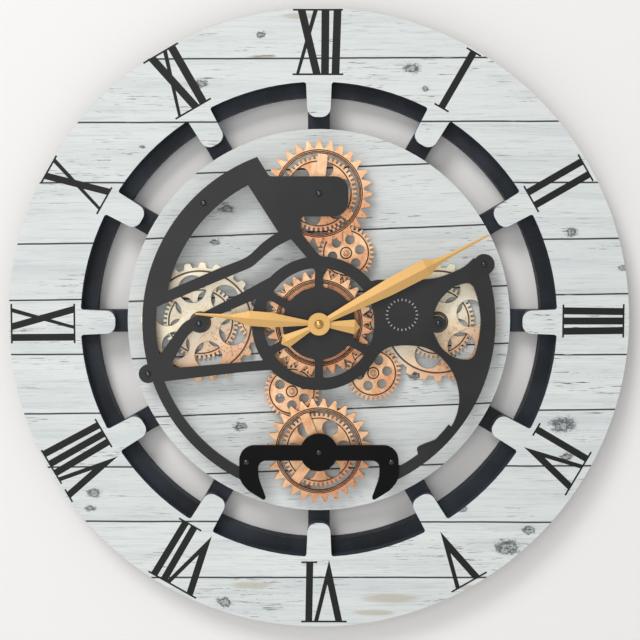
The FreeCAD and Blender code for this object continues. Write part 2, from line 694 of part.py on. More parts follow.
# Pins for the small gears and the idlers, each with a foot below and a head above the gear.
def make_pins():
    small, idle = [], []
    for side, place in small_pins.items():
        top = between(disc_front, fine_front) + " + sizes.boss_height + sizes.end_play"
        small.append(fused(f"{side}_pin", [
            rod(f"{side}_pin_foot", formula("pin_foot_radius"),
                between(disc_front, fine_back) + " - sizes.end_play", None, *place),
            rod(f"{side}_pin_shaft", formula("pin_radius"), top, None, *place),
            rod(f"{side}_pin_head", formula("pin_head_radius"), formula("pin_head_thick"), top, *place)]))
    for side, place in idler_pins.items():
        top = between(disc_front, deep_front) + " + sizes.end_play"
        idle.append(fused(f"{side}_idler_pin", [
            rod(f"{side}_idler_foot", formula("pin_foot_radius"),
                between(disc_front, deep_back) + " - sizes.end_play", None, *place),
            rod(f"{side}_idler_shaft", formula("pin_radius"), top, None, *place),
            rod(f"{side}_idler_head", formula("pin_head_radius"),
                formula("layer_gap", "-end_play", "-end_play"), top, *place)]))
    stand(group("small_gear_pins", small), "small_gear_pins", disc_front)
    stand(group("idler_pins", idle), "idler_pins", disc_front)


# Front plate outlines, as shares of its reach: across, up, roundness.
left_body_shares = [
    (-0.419, 1.055, 0), (-0.280, 0.830, 0.1), (0.165, 0.830, 0.68), (0.165, 0.604, 0.75),
    (-0.103, 0.604, 0.5), (-0.103, 0.515, 0.3), (-0.006, 0.393, 0.8), (0.068, 0.337, 0),
    (0, 0, 0), (-0.243, -0.229, 0), (-0.266, -0.264, 0), (-0.430, -0.276, 0.5),
    (-0.870, -0.329, 0), (-1.064, -0.351, 0), (-1.234, -0.331, 0), (-1.234, 1.027, 0)]
right_body_shares = [
    (0.249, 0.218, 0), (0.317, 0.247, 0.7), (0.668, 0.251, 0.9), (0.823, 0.320, 0.9),
    (0.877, 0.373, 0.3), (0.928, 0.337, 0), (1.143, 0.337, 0), (1.143, -0.897, 0),
    (0.606, -0.840, 0), (0.567, -0.759, 0.3), (0.557, -0.709, 0.8), (0.594, -0.691, 0.5),
    (0.724, -0.642, 0.9), (0.781, -0.546, 1), (0.805, -0.433, 1), (0.775, -0.297, 1),
    (0.707, -0.201, 1), (0.617, -0.136, 1), (0.492, -0.121, 1), (0.385, -0.135, 1),
    (0.331, -0.184, 0.6), (0.249, -0.308, 0), (0, 0, 0)]
upper_cut_shares = [
    (-0.404, 0.788, 0), (-0.230, 0.518, 0), (-0.311, 0.464, 0.8), (-0.402, 0.375, 0.7),
    (-0.559, 0.314, 0.5), (-0.894, 0.170, 0), (-1.121, 0.461, 0), (-0.781, 0.971, 0)]
middle_cut_shares = [
    (-1.007, 0.057, 0), (-0.375, 0.321, 0.5), (-0.308, 0.382, 0.8), (-0.238, 0.437, 0.8),
    (-0.158, 0.477, 0), (-0.065, 0.370, 0), (-0.045, 0.263, 0), (-0.192, 0.308, 0),
    (-0.487, 0.147, 0.4), (-0.696, 0.042, 0.8), (-0.767, 0.006, 0.8), (-0.832, -0.082, 0.5),
    (-0.917, -0.198, 0), (-1.092, -0.161, 0)]
lower_cut_shares = [
    (-0.317, 0.156, 0), (-0.668, 0.004, 0), (-0.707, -0.040, 0.3), (-0.747, -0.072, 0.8),
    (-0.855, -0.258, 0.5), (-0.243, -0.204, 0), (-0.215, -0.048, 0)]
right_window_shares = [
    (0.863, 0.236, 0.7), (0.900, 0.139, 0.8), (0.920, 0.020, 0.9), (0.905, -0.110, 0.9),
    (0.877, -0.208, 0.8), (0.781, -0.204, 0.8), (0.696, -0.147, 0.9), (0.649, -0.051, 0.2),
    (0.649, 0.054, 0.2), (0.679, 0.130, 0.9), (0.758, 0.211, 0.8)]
left_arm_start = math.radians(197)
right_arm_end = math.radians(322)


# Plates are joined and pierced as solids of one thickness.
def plate_solids(faces):
    return [face.extrude(Vector(0, 0, size("plate_thick"))) for face in faces]


def stand_plate(name, shape, back, x=0, up=0):
    plate = doc.addObject("Part::Feature", name)
    plate.Shape = shape.removeSplitter()
    stand(plate, name, back, x, up)


# Six windows round the middle of the plate, drawn between its narrow spokes.
def plate_windows():
    outer, inner = size("window_outer_radius"), size("window_inner_radius")
    ring = disc_face(outer).cut(disc_face(inner))
    half = size("plate_spoke_width") / 2
    spokes = []
    for turn in range(window_count):
        spoke = rectangle_face(0, outer + size("overrun"), -half, half)
        spoke.rotate(Vector(0, 0, 0), Vector(0, 0, 1), 30 + turn * 360 / window_count)
        spokes.append(spoke)
    height = size("plate_thick")
    window_solids = ring.cut(spokes).extrude(Vector(0, 0, height))
    corners = [edge for edge in window_solids.Edges if edge.BoundBox.ZLength > height / 2]
    return window_solids.makeFillet(size("window_round"), corners).Solids


def make_front_plate():
    reach = size("plate_reach")
    left_lobe = disc_face(size("left_lobe_radius"), *plate_screws[2])
    right_lobe = disc_face(size("right_lobe_radius"), *plate_screws[1])
    side_lug = disc_face(size("left_lug_radius"), *train_axles["left"])
    whole = disc_face(reach)
    left_body = rounded_face(left_body_shares, reach).common(whole)
    band_opening = disc_face(size("band_inner_radius"))
    cuts = [rounded_face(upper_cut_shares, reach).common(band_opening),
            rounded_face(middle_cut_shares, reach).common(disc_face(size("cut_reach"))),
            rounded_face(lower_cut_shares, reach).cut(side_lug)]
    right_body = rounded_face(right_body_shares, reach).common(whole)
    window = rounded_face(right_window_shares, reach).cut(
        disc_face(size("hub_bump_radius"), *train_axles["right"]))
    # an arm ends just inside the neck that leads up to its bracket screw
    half_neck = size("arm_neck_width") / 2
    arm_middle = (reach + size("arm_inner_radius")) / 2
    end_turn = math.acos((size("bracket_screw_side") - half_neck) / arm_middle)
    arms = [ring_sector(reach, size("arm_inner_radius"), left_arm_start, math.pi + end_turn),
            ring_sector(reach, size("arm_inner_radius"), 2 * math.pi - end_turn, right_arm_end)]
    ends = []
    for x, y in bracket_screws:
        inward = x - math.copysign(size("arm_end_radius") - half_neck, x)
        foot = -math.sqrt(arm_middle**2 - inward**2)
        ends += [disc_face(size("arm_end_radius"), x, y),
                 rectangle_face(inward - half_neck, inward + half_neck, min(foot, y), max(foot, y))]
    joined = [right_body.cut(window), disc_face(size("plate_ring_radius")), left_lobe, right_lobe]
    plate = plate_solids([left_body.cut(cuts)])[0].fuse(plate_solids(joined + arms + ends))
    screw_hole = size("screw_radius") + size("hole_clearance")
    axle_screws = [train_axles[side] for side in ("top", "left", "right")]
    holes = [disc_face(screw_hole, x, y) for x, y in plate_screws + bracket_screws + axle_screws]
    holes.append(disc_face(size("sleeve_neck_radius") + size("hole_clearance")))
    stand_plate("front_plate", plate.cut(plate_solids(holes) + plate_windows()), plate_back)


# Right half of the lower bracket, as shares of its reach; the left half mirrors it.
bracket_shares = [
    (0, 0.09, 0), (1, 0.09, 0.87), (1, -0.348, 0.9), (0.896, -0.479, 0.6), (0.647, -0.634, 0.5),
    (0.761, -0.317, 0.7), (0.761, -0.104, 0.9), (0, -0.104, 0)]


def make_lower_bracket():
    reach = size("bracket_reach")
    mirrored = [(-across, up, roundness) for across, up, roundness in bracket_shares]
    right_half, *others = plate_solids([rounded_face(bracket_shares, reach), rounded_face(mirrored, reach),
                                        disc_face(size("bracket_disc_radius"))])
    rise = number(("top_axle_height", "-bracket_screw_drop"))
    screw_hole = size("screw_radius") + size("hole_clearance")
    holes = [disc_face(screw_hole)] + [disc_face(screw_hole, x, rise) for x, _ in bracket_screws]
    bracket = right_half.fuse(others).cut(plate_solids(holes))
    stand_plate("lower_bracket", bracket, plate_front, *train_axles["bottom"])


# Tubes that hold the plates off the disc.
def make_spacers():
    for name, places in (("plate_spacers", plate_screws), ("bracket_spacers", bracket_screws)):
        tubes = [tube(f"{name}_{count}", formula("spacer_radius"), formula("screw_radius", "hole_clearance"),
                      between(disc_front, plate_back), None, x, y) for count, (x, y) in enumerate(places)]
        stand(group(name, tubes), name, disc_front)


# A screw from the front: a tapered head over a shank that goes back through what it clamps.
def front_screw(name, grip, x, y):
    head = doc.addObject("Part::Cone", name + "_head")
    head.setExpression("Radius1", formula("screw_head_radius"))
    head.setExpression("Radius2", formula("screw_head_top"))
    head.setExpression("Height", formula("screw_head_height"))
    head.Placement.Base = Vector(x, y, 0)
    head.setExpression("Placement.Base.z", grip)
    return fused(name, [head, rod(name + "_shank", formula("screw_radius"), grip, None, x, y)])


def make_front_screws():
    single, double = formula("plate_thick", "screw_bite"), formula("plate_thick", "plate_thick", "screw_bite")
    screws = [front_screw(f"plate_screw_{count}", single, x, y) for count, (x, y) in enumerate(plate_screws)]
    stand(group("plate_screws", screws), "plate_screws", plate_back + ("-screw_bite",))
    screws = [front_screw(f"bracket_screw_{count}", double, x, y)
              for count, (x, y) in enumerate(bracket_screws)]
    stand(group("bracket_screws", screws), "bracket_screws", plate_back + ("-screw_bite",))
    front = [front_screw(f"{side}_axle_screw", single, *train_axles[side]) for side in ("top", "left", "right")]
    stand(group("plate_axle_screws", front), "plate_axle_screws", plate_back + ("-screw_bite",))
    stand(front_screw("bottom_axle_screw", single, 0, 0), "bottom_axle_screw",
          plate_front + ("-screw_bite",), *train_axles["bottom"])


# A screw from behind: a flat head under a shank, the head's back at zero.
def rear_screw(name, grip, x, y):
    return fused(name, [rod(name + "_head", formula("screw_head_radius"), formula("rear_head_thick"), None, x, y),
                        rod(name + "_shank", formula("screw_radius"), grip, formula("rear_head_thick"), x, y)])


def make_rear_screws():
    head_back = frame_back + ("-rear_head_thick",)
    through = between(frame_back, disc_front) + " + sizes.rear_bite"
    screws = [rear_screw(f"frame_screw_{count}", through, x, y)
              for count, (x, y) in enumerate(plate_screws + bracket_screws)]
    stand(group("frame_screws", screws), "frame_screws", head_back)
    case_back = disc_back + ("-drive_depth", "-rear_head_thick")
    grip = formula("drive_depth", "rear_bite")
    screws = [rear_screw(f"drive_screw_{count}", grip, x, y) for count, (x, y) in enumerate(drive_screws)]
    stand(group("drive_screws", screws), "drive_screws", case_back)
    grip = formula("hanger_thick", "rear_bite")
    screws = [rear_screw(f"hanger_screw_{count}", grip, side * size("hanger_screw_side"), ring_middle)
              for count, side in enumerate((-1, 1))]
    stand(group("hanger_screws", screws), "hanger_screws", frame_back + ("-hanger_thick", "-rear_head_thick"))


# Centre arbor: a flanged sleeve clamps the movement's stud, and carries the centre gears.
def make_arbor():
    flange_thick = formula("foot_gap", "-end_play")
    body_length = between(disc_front, plate_back)
    neck = between(disc_front, plate_front) + " + sizes.plate_nut_thick"
    sleeve_bar = fused("sleeve_bar", [
        rod("sleeve_flange", formula("sleeve_flange_radius"), flange_thick),
        rod("sleeve_body", formula("sleeve_radius"), body_length),
        rod("sleeve_neck", formula("sleeve_neck_radius"), neck)])
    sleeve_bore = fused("sleeve_bores", [
        rod("sleeve_bore", formula("hour_tube_radius", "running_fit"), neck),
        rod("sleeve_counterbore", formula("stud_radius", "hole_clearance"),
            formula("stud_height", "hole_clearance"))])
    stand(cut("centre_sleeve", sleeve_bar, sleeve_bore), "centre_sleeve", disc_front)
    stand(tube("centre_spacer", formula("centre_spacer_radius"), formula("sleeve_radius", "hole_clearance"),
               formula("plate_gap", "-end_play")), "centre_spacer", ring_front + ("end_play",))
    stand(tube("plate_nut", formula("plate_nut_radius"), formula("sleeve_neck_radius", "hole_clearance"),
               formula("plate_nut_thick")), "plate_nut", plate_front)


# A cell lies along x, its nub to the right, midway up its bay.
def battery_cell(name, middle_x, middle_y, bay_depth):
    length = size("cell_length") + size("cell_nub_length")
    body = rod(name + "_can", formula("cell_radius"), formula("cell_length"))
    nub = rod(name + "_nub", formula("cell_nub_radius"), formula("cell_nub_length"), formula("cell_length"))
    cell = fused(name, [body, nub])
    cell.Placement = Placement(Vector(middle_x - length / 2, middle_y, 0), Rotation(Vector(0, 1, 0), 90))
    cell.setExpression("Placement.Base.z", f"({bay_depth}) / 2")
    return cell


def battery_bay(name, left, bottom, bay_depth):
    return block(name, formula("cell_length", "cell_nub_length", "cell_room", "cell_room"),
                 formula("cell_radius", "cell_radius", "cell_room", "cell_room"), bay_depth, left, bottom)


# Clock movement: a square case behind the disc with a stud through it and one cell below.
def make_movement():
    half = size("movement_side") / 2
    left, bottom = -bay_width / 2, size("case_wall") - half
    bay_depth = formula("movement_depth", "-cell_skin")
    whole = fused("movement_whole", [
        block("movement_box", formula("movement_side"), formula("movement_side"),
              formula("movement_depth"), -half, -half),
        rod("movement_stud", formula("stud_radius"), formula("movement_depth", "disc_thick", "stud_height"))])
    shaft_hole = rod("movement_shaft_hole", formula("minute_shaft_radius", "running_fit"),
                     formula("movement_depth"))
    tube_hole = rod("movement_tube_hole", formula("hour_tube_radius", "running_fit"),
                    formula("hour_tube_depth", "disc_thick", "stud_height"),
                    formula("movement_depth", "-hour_tube_depth"))
    hollow = fused("movement_hollow", [battery_bay("movement_bay", left, bottom, bay_depth),
                                       shaft_hole, tube_hole])
    back = disc_back + ("-movement_depth",)
    stand(cut("movement_case", whole, hollow), "movement_case", back)
    stand(group("clock_battery", [battery_cell("clock_cell", 0, bottom + bay_height / 2, bay_depth)]),
          "clock_battery", back)


# Gear drive: a case with a motor's output at one corner and two cells.
def make_drive():
    back = disc_back + ("-drive_depth",)
    left = drive_left + size("case_wall")
    bottoms = [drive_bottom + size("case_wall") + row * (bay_height + size("case_wall")) for row in range(2)]
    bay_depth = formula("cell_radius", "cell_radius", "cell_room")
    hollows = [battery_bay(f"drive_bay_{row}", left, bottom, bay_depth) for row, bottom in enumerate(bottoms)]
    hollows += [rod(f"drive_screw_hole_{count}", formula("screw_radius", "hole_clearance"),
                    formula("drive_depth"), None, x, y) for count, (x, y) in enumerate(drive_screws)]
    hollows.append(rod("drive_output_hole", formula("output_radius", "running_fit"), formula("output_depth"),
                       formula("drive_depth", "-output_depth"), *drive_output))
    box = block("drive_box", formula("drive_width"), formula("drive_height"), formula("drive_depth"),
                drive_left, drive_bottom)
    stand(cut("drive_case", box, fused("drive_hollow", hollows)), "drive_case", back)
    cells = [battery_cell(f"drive_cell_{row}", left + bay_width / 2, bottom + bay_height / 2, bay_depth)
             for row, bottom in enumerate(bottoms)]
    stand(group("drive_batteries", cells), "drive_batteries", back)


def make_hanger_and_pads():
    half_width, half_height = size("hanger_width") / 2, size("hanger_height") / 2
    half_slot, rise = size("keyhole_slot_width") / 2, size("keyhole_rise")
    screw_hole = size("screw_radius") + size("hole_clearance")
    holes = [disc_face(size("keyhole_radius")), rectangle_face(-half_slot, half_slot, 0, rise),
             disc_face(half_slot, 0, rise)]
    holes += [disc_face(screw_hole, side * size("hanger_screw_side")) for side in (-1, 1)]
    face = pierced(rectangle_face(-half_width, half_width, -half_height, half_height), holes)
    stand(slab("hanger_plate", face, formula("hanger_thick")), "hanger_plate",
          frame_back + ("-hanger_thick",), 0, ring_middle)
    turn = 2 * math.pi / pad_count
    pads = [rod(f"pad_{count}", formula("pad_radius"), formula("wall_gap"), None,
                *polar(ring_middle, turn / 2 + count * turn)) for count in range(pad_count)]
    stand(group("wall_pads", pads), "wall_pads", ())


# Hands: how far along from the axis, and how wide, as shares of length and width.
minute_blade_shares = [(-0.223, 0.02), (-0.193, 0.77), (-0.05, 0.27), (0.05, 0.34), (0.41, 0.93),
                       (0.635, 1), (0.68, 0.52), (0.72, 0.36), (0.775, 0.25), (1, 0.1)]
hour_blade_shares = [(-0.331, 0.03), (-0.287, 0.97), (-0.08, 0.4), (0.09, 0.34), (0.385, 0.97),
                     (0.56, 1), (0.7, 0.33), (1, 0.1)]


# A blade is flat behind and rises from two thin edges to a ridge along its middle.
def make_hand(name, blade_shares, length, width, shaft_alias, side, back):
    edge = size("hand_edge")
    sections = []
    for along_share, width_share in blade_shares:
        along, half = along_share * length, width_share * width / 2
        ridge = edge + width_share * size("ridge_height")
        profile = [(-half, 0), (half, 0), (half, edge), (0, ridge), (-half, edge)]
        corners = [Vector(along, across, high) for across, high in profile]
        sections.append(Part.makePolygon(corners + corners[:1]))
    blade = Part.makeLoft(sections, True, True)
    whole = blade.fuse(Part.makeCylinder(size("hand_hub_radius"), size("hub_thick")))
    bore = Part.makeCylinder(size(shaft_alias) + size("running_fit"), size("hub_thick") + size("overrun"))
    hand = doc.addObject("Part::Feature", name)
    hand.Shape = whole.cut(bore).removeSplitter()
    stand(hand, name, back, side=side)


def make_hands():
    tube_back = disc_back + ("-hour_tube_depth",)
    stand(tube("hour_tube", formula("hour_tube_radius"), formula("minute_shaft_radius", "running_fit"),
               between(disc_back, hour_front) + " + sizes.hour_tube_depth"), "hour_tube", tube_back)
    make_hand("hour_hand", hour_blade_shares, size("hour_length"), size("hour_width"),
              "hour_tube_radius", hour_side, hour_back)
    knob_back = disc_back + ("-movement_depth", "-knob_gap", "-knob_thick")
    shaft = between(disc_back, minute_front) + " + sizes.movement_depth + sizes.knob_gap"
    stand(rod("minute_shaft", formula("minute_shaft_radius"), shaft + " + sizes.knob_thick + sizes.shaft_stub"),
          "minute_shaft", knob_back)
    stand(tube("setting_knob", formula("knob_radius"), formula("minute_shaft_radius", "running_fit"),
               formula("knob_thick")), "setting_knob", knob_back)
    make_hand("minute_hand", minute_blade_shares, size("minute_length"), size("minute_width"),
              "minute_shaft_radius", minute_side, minute_back)
    nut = rod("hand_nut_bar", formula("hand_nut_radius"), formula("hand_nut_height"))
    nut_bore = rod("hand_nut_bore", formula("minute_shaft_radius", "running_fit"),
                   formula("shaft_stub", "running_fit"))
    stand(cut("hand_nut", nut, nut_bore), "hand_nut", minute_front)


make_dial_board()
make_spoked_frame()
make_inner_disc()
make_gears()
make_motor_pinion()
make_axles()
make_pins()
make_front_plate()
make_lower_bracket()
make_spacers()
make_front_screws()
make_rear_screws()
make_arbor()
make_movement()
make_drive()
make_hanger_and_pads()
make_hands()
doc.recompute()

for item in doc.Objects:
    if "Invalid" in item.State or "Error" in item.State:
        raise RuntimeError(f"{item.Label} failed: {item.State}")
os.makedirs("parts", exist_ok=True)
for node in nodes:
    if node.Shape.isNull() or not node.Shape.isValid():
        raise RuntimeError(f"{node.Label} has no valid shape")
for node in nodes:
    node.Shape.exportStep(f"parts/{node.Label}.step")
print(len(nodes), "pieces written")
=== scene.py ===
import bpy
import json
import math
from functools import partial
from mathutils import Matrix, Vector


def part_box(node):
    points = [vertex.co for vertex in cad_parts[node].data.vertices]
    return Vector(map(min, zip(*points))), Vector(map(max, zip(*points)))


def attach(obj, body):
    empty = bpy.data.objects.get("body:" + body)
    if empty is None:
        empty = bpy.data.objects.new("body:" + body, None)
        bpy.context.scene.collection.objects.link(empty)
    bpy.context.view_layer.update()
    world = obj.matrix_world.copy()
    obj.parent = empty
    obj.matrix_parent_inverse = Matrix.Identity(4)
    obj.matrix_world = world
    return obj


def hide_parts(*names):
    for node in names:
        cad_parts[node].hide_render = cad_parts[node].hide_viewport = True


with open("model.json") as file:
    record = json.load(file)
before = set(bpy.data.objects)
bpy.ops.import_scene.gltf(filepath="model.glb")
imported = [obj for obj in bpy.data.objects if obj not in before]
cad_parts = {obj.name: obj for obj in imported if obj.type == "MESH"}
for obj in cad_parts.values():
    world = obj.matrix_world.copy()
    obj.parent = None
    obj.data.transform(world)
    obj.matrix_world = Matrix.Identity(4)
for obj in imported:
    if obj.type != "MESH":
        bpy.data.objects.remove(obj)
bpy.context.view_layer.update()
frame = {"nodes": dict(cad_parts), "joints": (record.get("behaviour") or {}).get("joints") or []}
mm = 0.001
fullTurn = 2 * math.pi
joints = {joint["child"]: joint for joint in frame["joints"]}
print("frame loaded")


# sRGB hex to the linear colour that Blender's sockets take
def hexColor(text):
    def linear(part):
        value = int(part, 16) / 255
        return value / 12.92 if value <= 0.04045 else ((value + 0.055) / 1.055) ** 2.4
    return (linear(text[1:3]), linear(text[3:5]), linear(text[5:7]), 1)


# the scale that draws a pattern at its size in mm
def patternScale(size):
    return 1 / (size * mm)


# adds a node, sets its properties, joins or sets its inputs and gives back one output
def addNode(tree, kind, inputs=(), output=0, **settings):
    node = tree.nodes.new("ShaderNode" + kind)
    for name, value in settings.items():
        setattr(node, name, value)
    for name, value in inputs.items() if isinstance(inputs, dict) else enumerate(inputs):
        if isinstance(value, bpy.types.NodeSocket):
            tree.links.new(value, node.inputs[name])
        else:
            node.inputs[name].default_value = value
    return node.outputs[output]


# a material, its own addNode, its Principled shader and the object's coordinates
def newMaterial(name, roughness, metallic=0.0, specular=0.5):
    material = bpy.data.materials.new(name)
    material.use_nodes = True
    shader = material.node_tree.nodes["Principled BSDF"]
    shader.inputs["Roughness"].default_value = roughness
    shader.inputs["Metallic"].default_value = metallic
    shader.inputs["Specular IOR Level"].default_value = specular
    add = partial(addNode, material.node_tree)
    return material, add, shader, add("TexCoord", output="Object")


# lays coats of colour over a base, each where its mask is 1, and presses in the relief
def layFinish(add, shader, base, coats, relief=None, depth=0.0, strength=1.0):
    color = hexColor(base)
    for mask, coat in coats:
        color = add("Mix", {0: mask, 6: color, 7: hexColor(coat)}, 2, data_type="RGBA")
    links = shader.id_data.links
    links.new(color, shader.inputs["Base Color"])
    if relief is not None:
        bump = add("Bump", {"Height": relief, "Distance": depth * mm, "Strength": strength})
        links.new(bump, shader.inputs["Normal"])


smooth = {"interpolation_type": "SMOOTHSTEP"}  # for masks, which fade from one value to another

# the photograph's scale at the board's front, and the board's middle in the picture
photo = {"side": 640, "mmPerPixel": 0.967, "middleX": 318.9, "middleY": 322.2}


def pixelToBoard(x, y):
    scale = photo["mmPerPixel"] * mm
    return (x - photo["middleX"]) * scale, (photo["middleY"] - y) * scale


# printed planks: lines across and knots and stains as (x, y, radius), all in picture pixels
boardPrint = {
    "tilt": 0.0, "lineRows": [61, 123.2, 183.1, 241.3, 297.1, 354.7, 412.4, 468, 524.5, 581.8],
    "lineDrops": [-3, -2.3, -0.8, -6.2, -7, 0, -5.1, -2, 1, 0],  # a line's right end below its left
    "knots": [(262, 38, 5), (202, 86, 7), (411, 71, 8), (424, 91, 4), (570.6, 232, 7.5), (622, 268, 5),
              (92.5, 495, 7), (88, 511, 5), (223, 607, 8), (564, 426, 13), (568, 458, 7), (509, 551, 13),
              (531, 533, 7), (464, 512, 5), (144, 148, 3)],
    "stains": [(392, 603, 34), (375, 618, 22), (250, 590, 26), (300, 20, 20), (262, 60, 14),
               (470, 592, 18)],
    "paint": "#E3E9E9", "plank": "#C3CCD0", "grain": "#AEB7B9", "crack": "#3C4043", "line": "#23272B",
    "knot": "#3B3F41", "stain": "#B9B09C", "pore": "#858E90"}
discPrint = {
    "tilt": 2.4, "lineRows": [169, 232, 294, 352, 412, 472.5], "lineDrops": [0] * 6,
    "knots": [(413, 379.5, 9), (235, 425, 7), (232, 205, 8), (218, 238, 5), (300, 490, 4)],
    "stains": [(300, 488, 24), (185, 260, 16)],
    "paint": "#E4E9E9", "plank": "#CAD2D5", "grain": "#B2BABC", "crack": "#373B3E", "line": "#1C2024",
    "knot": "#34383A", "stain": "#BDB7A6", "pore": "#858E90"}
# streaks along the planks: length and width in mm, detail and roughness
plankGrain = {"broad": (166.7, 14.71, 4, 0.55), "streaks": (83.33, 1.754, 7, 0.66),
              "fine": (37.04, 0.641, 4, 0.65), "cracks": (22.73, 1.087, 4, 0.6),
              "worn": (100, 31.25, 3, 0.5), "ragged": (4.762, 3.175, 6, 0.7)}
# here and below a mask is where it starts and ends, then how weak and strong it is (0 and 1 if left out)
plankMask = {"broad": (0.4, 0.75, 0, 0.5), "streaks": (0.48, 0.7, 0, 0.42), "fine": (0.59, 0.65, 0, 0.42),
             "cracks": (0.61, 0.65), "worn": (0.46, 0.62, 0.15, 1)}
plankStep = {"shift": 0.37, "tone": 0.22}  # from plank to plank: metres along the grain, share of tone
# lines between planks, in mm, and marks, whose width and height are shares of their radius
plankLine = {"wave": 142.9, "wander": 2.4, "breaks": 38.46, "breakMask": (0.3, 0.42, 0.45, 1),
             "outer": 1.05, "inner": 0.5}
knotShape = {"wide": 1.5, "high": 0.95, "fray": 1.7, "edgeMask": (1.75, 1.2), "coreMask": (0.55, 0.2, 0, 0.5),
             "rings": 11, "ringDepth": 0.3, "ringLevel": 0.55, "darkest": 0.9}
stainShape = {"wide": 1, "high": 0.16, "fray": 1.6, "edgeMask": (1.85, 1.35, 0, 0.65)}
boardEdge = {"opening": "#434B57", "rim": "#C9CDCD", "openingReach": 0.2315}  # metres from the middle
boardBack = {"bare": "#B4946B", "fibre": "#8D6E4A", "fibreSize": 1.429, "fibreMask": (0.35, 0.65)}
boardRelief = {"grainShare": 0.3, "depth": 0.25, "strength": 0.7}


# lacquered print on fibreboard: matt, with faint grain relief, so it looks like whitewashed planks
def printedFibreboard(name, style):
    material, add, shader, place = newMaterial(name, 0.52)
    turned = add("Mapping", {"Vector": place, "Rotation": (0, math.radians(style["tilt"]), 0)})
    across, up = add("SeparateXYZ", [turned], "X"), add("SeparateXYZ", [turned], "Z")
    alongLine = add("Mapping", {"Vector": turned, "Scale": (patternScale(plankLine["wave"]), 0, 0)})
    waves = add("TexNoise", {"Vector": alongLine, "Scale": 1, "Detail": 4, "Roughness": 0.55})
    wander = add("Math", [waves, plankLine["wander"] * mm, -plankLine["wander"] / 2 * mm],
                 operation="MULTIPLY_ADD")
    height = add("Math", [up, wander], operation="ADD")
    nearest, plank = 1.0, 0.0
    for row, drop in zip(style["lineRows"], style["lineDrops"]):
        level = add("Math", [across, drop / photo["side"], height], operation="MULTIPLY_ADD")
        offset = add("Math", [level, pixelToBoard(0, row)[1]], operation="SUBTRACT")
        distance = add("Math", [offset], operation="ABSOLUTE")
        nearest = add("Math", [nearest, distance], operation="MINIMUM")
        above = add("Math", [offset, 0.0], operation="GREATER_THAN")
        plank = add("Math", [plank, above], operation="ADD")
    # each plank has its own tone, and its grain is shifted so that it stops at the lines
    tone = add("TexWhiteNoise", {"W": plank}, noise_dimensions="1D")
    shift = add("CombineXYZ", [add("Math", [plank, plankStep["shift"]], operation="MULTIPLY")])
    moved = add("VectorMath", [turned, shift], operation="ADD")
    grain = {}
    for layer, (long, wide, detail, roughness) in plankGrain.items():
        scale = (patternScale(long), patternScale(long), patternScale(wide))
        drawn = add("Mapping", {"Vector": place if layer == "ragged" else moved, "Scale": scale})
        grain[layer] = add("TexNoise", {"Vector": drawn, "Scale": 1, "Detail": detail, "Roughness": roughness})
    masks = {layer: add("MapRange", [grain[layer], *mask], **smooth) for layer, mask in plankMask.items()}
    coats = [(masks["broad"], style["plank"]), (masks["streaks"], style["grain"]),
             (masks["fine"], style["pore"]),
             (add("Math", [masks["cracks"], masks["worn"]], operation="MULTIPLY"), style["crack"]),
             (add("Math", [tone, plankStep["tone"]], operation="MULTIPLY"), style["plank"])]

    # how far a point is from a mark's middle, where 1 is the mark's edge, frayed by the grain
    def markReach(mark, shape, layer):
        x, z = pixelToBoard(mark[0], mark[1])
        wide, high = mark[2] * shape["wide"] * mm, mark[2] * shape["high"] * mm
        scaled = add("VectorMath", [turned, (1 / wide, 0, 1 / high), (-x / wide, 0, -z / high)],
                     operation="MULTIPLY_ADD")
        reach = add("VectorMath", [scaled], "Value", operation="LENGTH")
        return reach, add("Math", [grain[layer], shape["fray"], reach], operation="MULTIPLY_ADD")

    for stain in style["stains"]:
        _, frayed = markReach(stain, stainShape, "streaks")
        coats.append((add("MapRange", [frayed, *stainShape["edgeMask"]], **smooth), style["stain"]))
    for knot in style["knots"]:
        reach, frayed = markReach(knot, knotShape, "ragged")
        ringTurn = add("Math", [frayed, knotShape["rings"]], operation="MULTIPLY")
        ringWave = add("Math", [ringTurn], operation="SINE")
        rings = add("Math", [ringWave, knotShape["ringDepth"], knotShape["ringLevel"]],
                    operation="MULTIPLY_ADD")
        core = add("MapRange", [reach, *knotShape["coreMask"]], **smooth)
        spread = add("Math", [add("MapRange", [frayed, *knotShape["edgeMask"]], **smooth), core],
                     operation="ADD")
        inside = add("Math", [spread, rings], operation="MULTIPLY")
        coats.append((add("Math", [inside, knotShape["darkest"]], operation="MINIMUM"), style["knot"]))

    # the lines between planks fade here and there
    alongPlank = add("Mapping", {"Vector": moved, "Scale": (patternScale(plankLine["breaks"]), 0, 0)})
    breaks = add("TexNoise", {"Vector": alongPlank, "Scale": 1, "Detail": 3, "Roughness": 0.55})
    strength = add("MapRange", [breaks, *plankLine["breakMask"]], **smooth)
    line = add("MapRange", [nearest, plankLine["outer"] * mm, plankLine["inner"] * mm], **smooth)
    gap = add("Math", [line, strength], operation="MULTIPLY")
    coats.append((gap, style["line"]))
    # cut edges: dark paint inside the openings, pale at the outer rim
    facing = add("SeparateXYZ", [add("NewGeometry", output="True Normal")], "Y")
    edge = add("Math", [add("Math", [facing], operation="ABSOLUTE"), 0.5], operation="LESS_THAN")
    flat = add("VectorMath", [place, (1, 0, 1)], operation="MULTIPLY")
    middleReach = add("VectorMath", [flat], "Value", operation="LENGTH")
    outside = add("Math", [middleReach, boardEdge["openingReach"]], operation="GREATER_THAN")
    rim = add("Math", [edge, outside], operation="MULTIPLY")
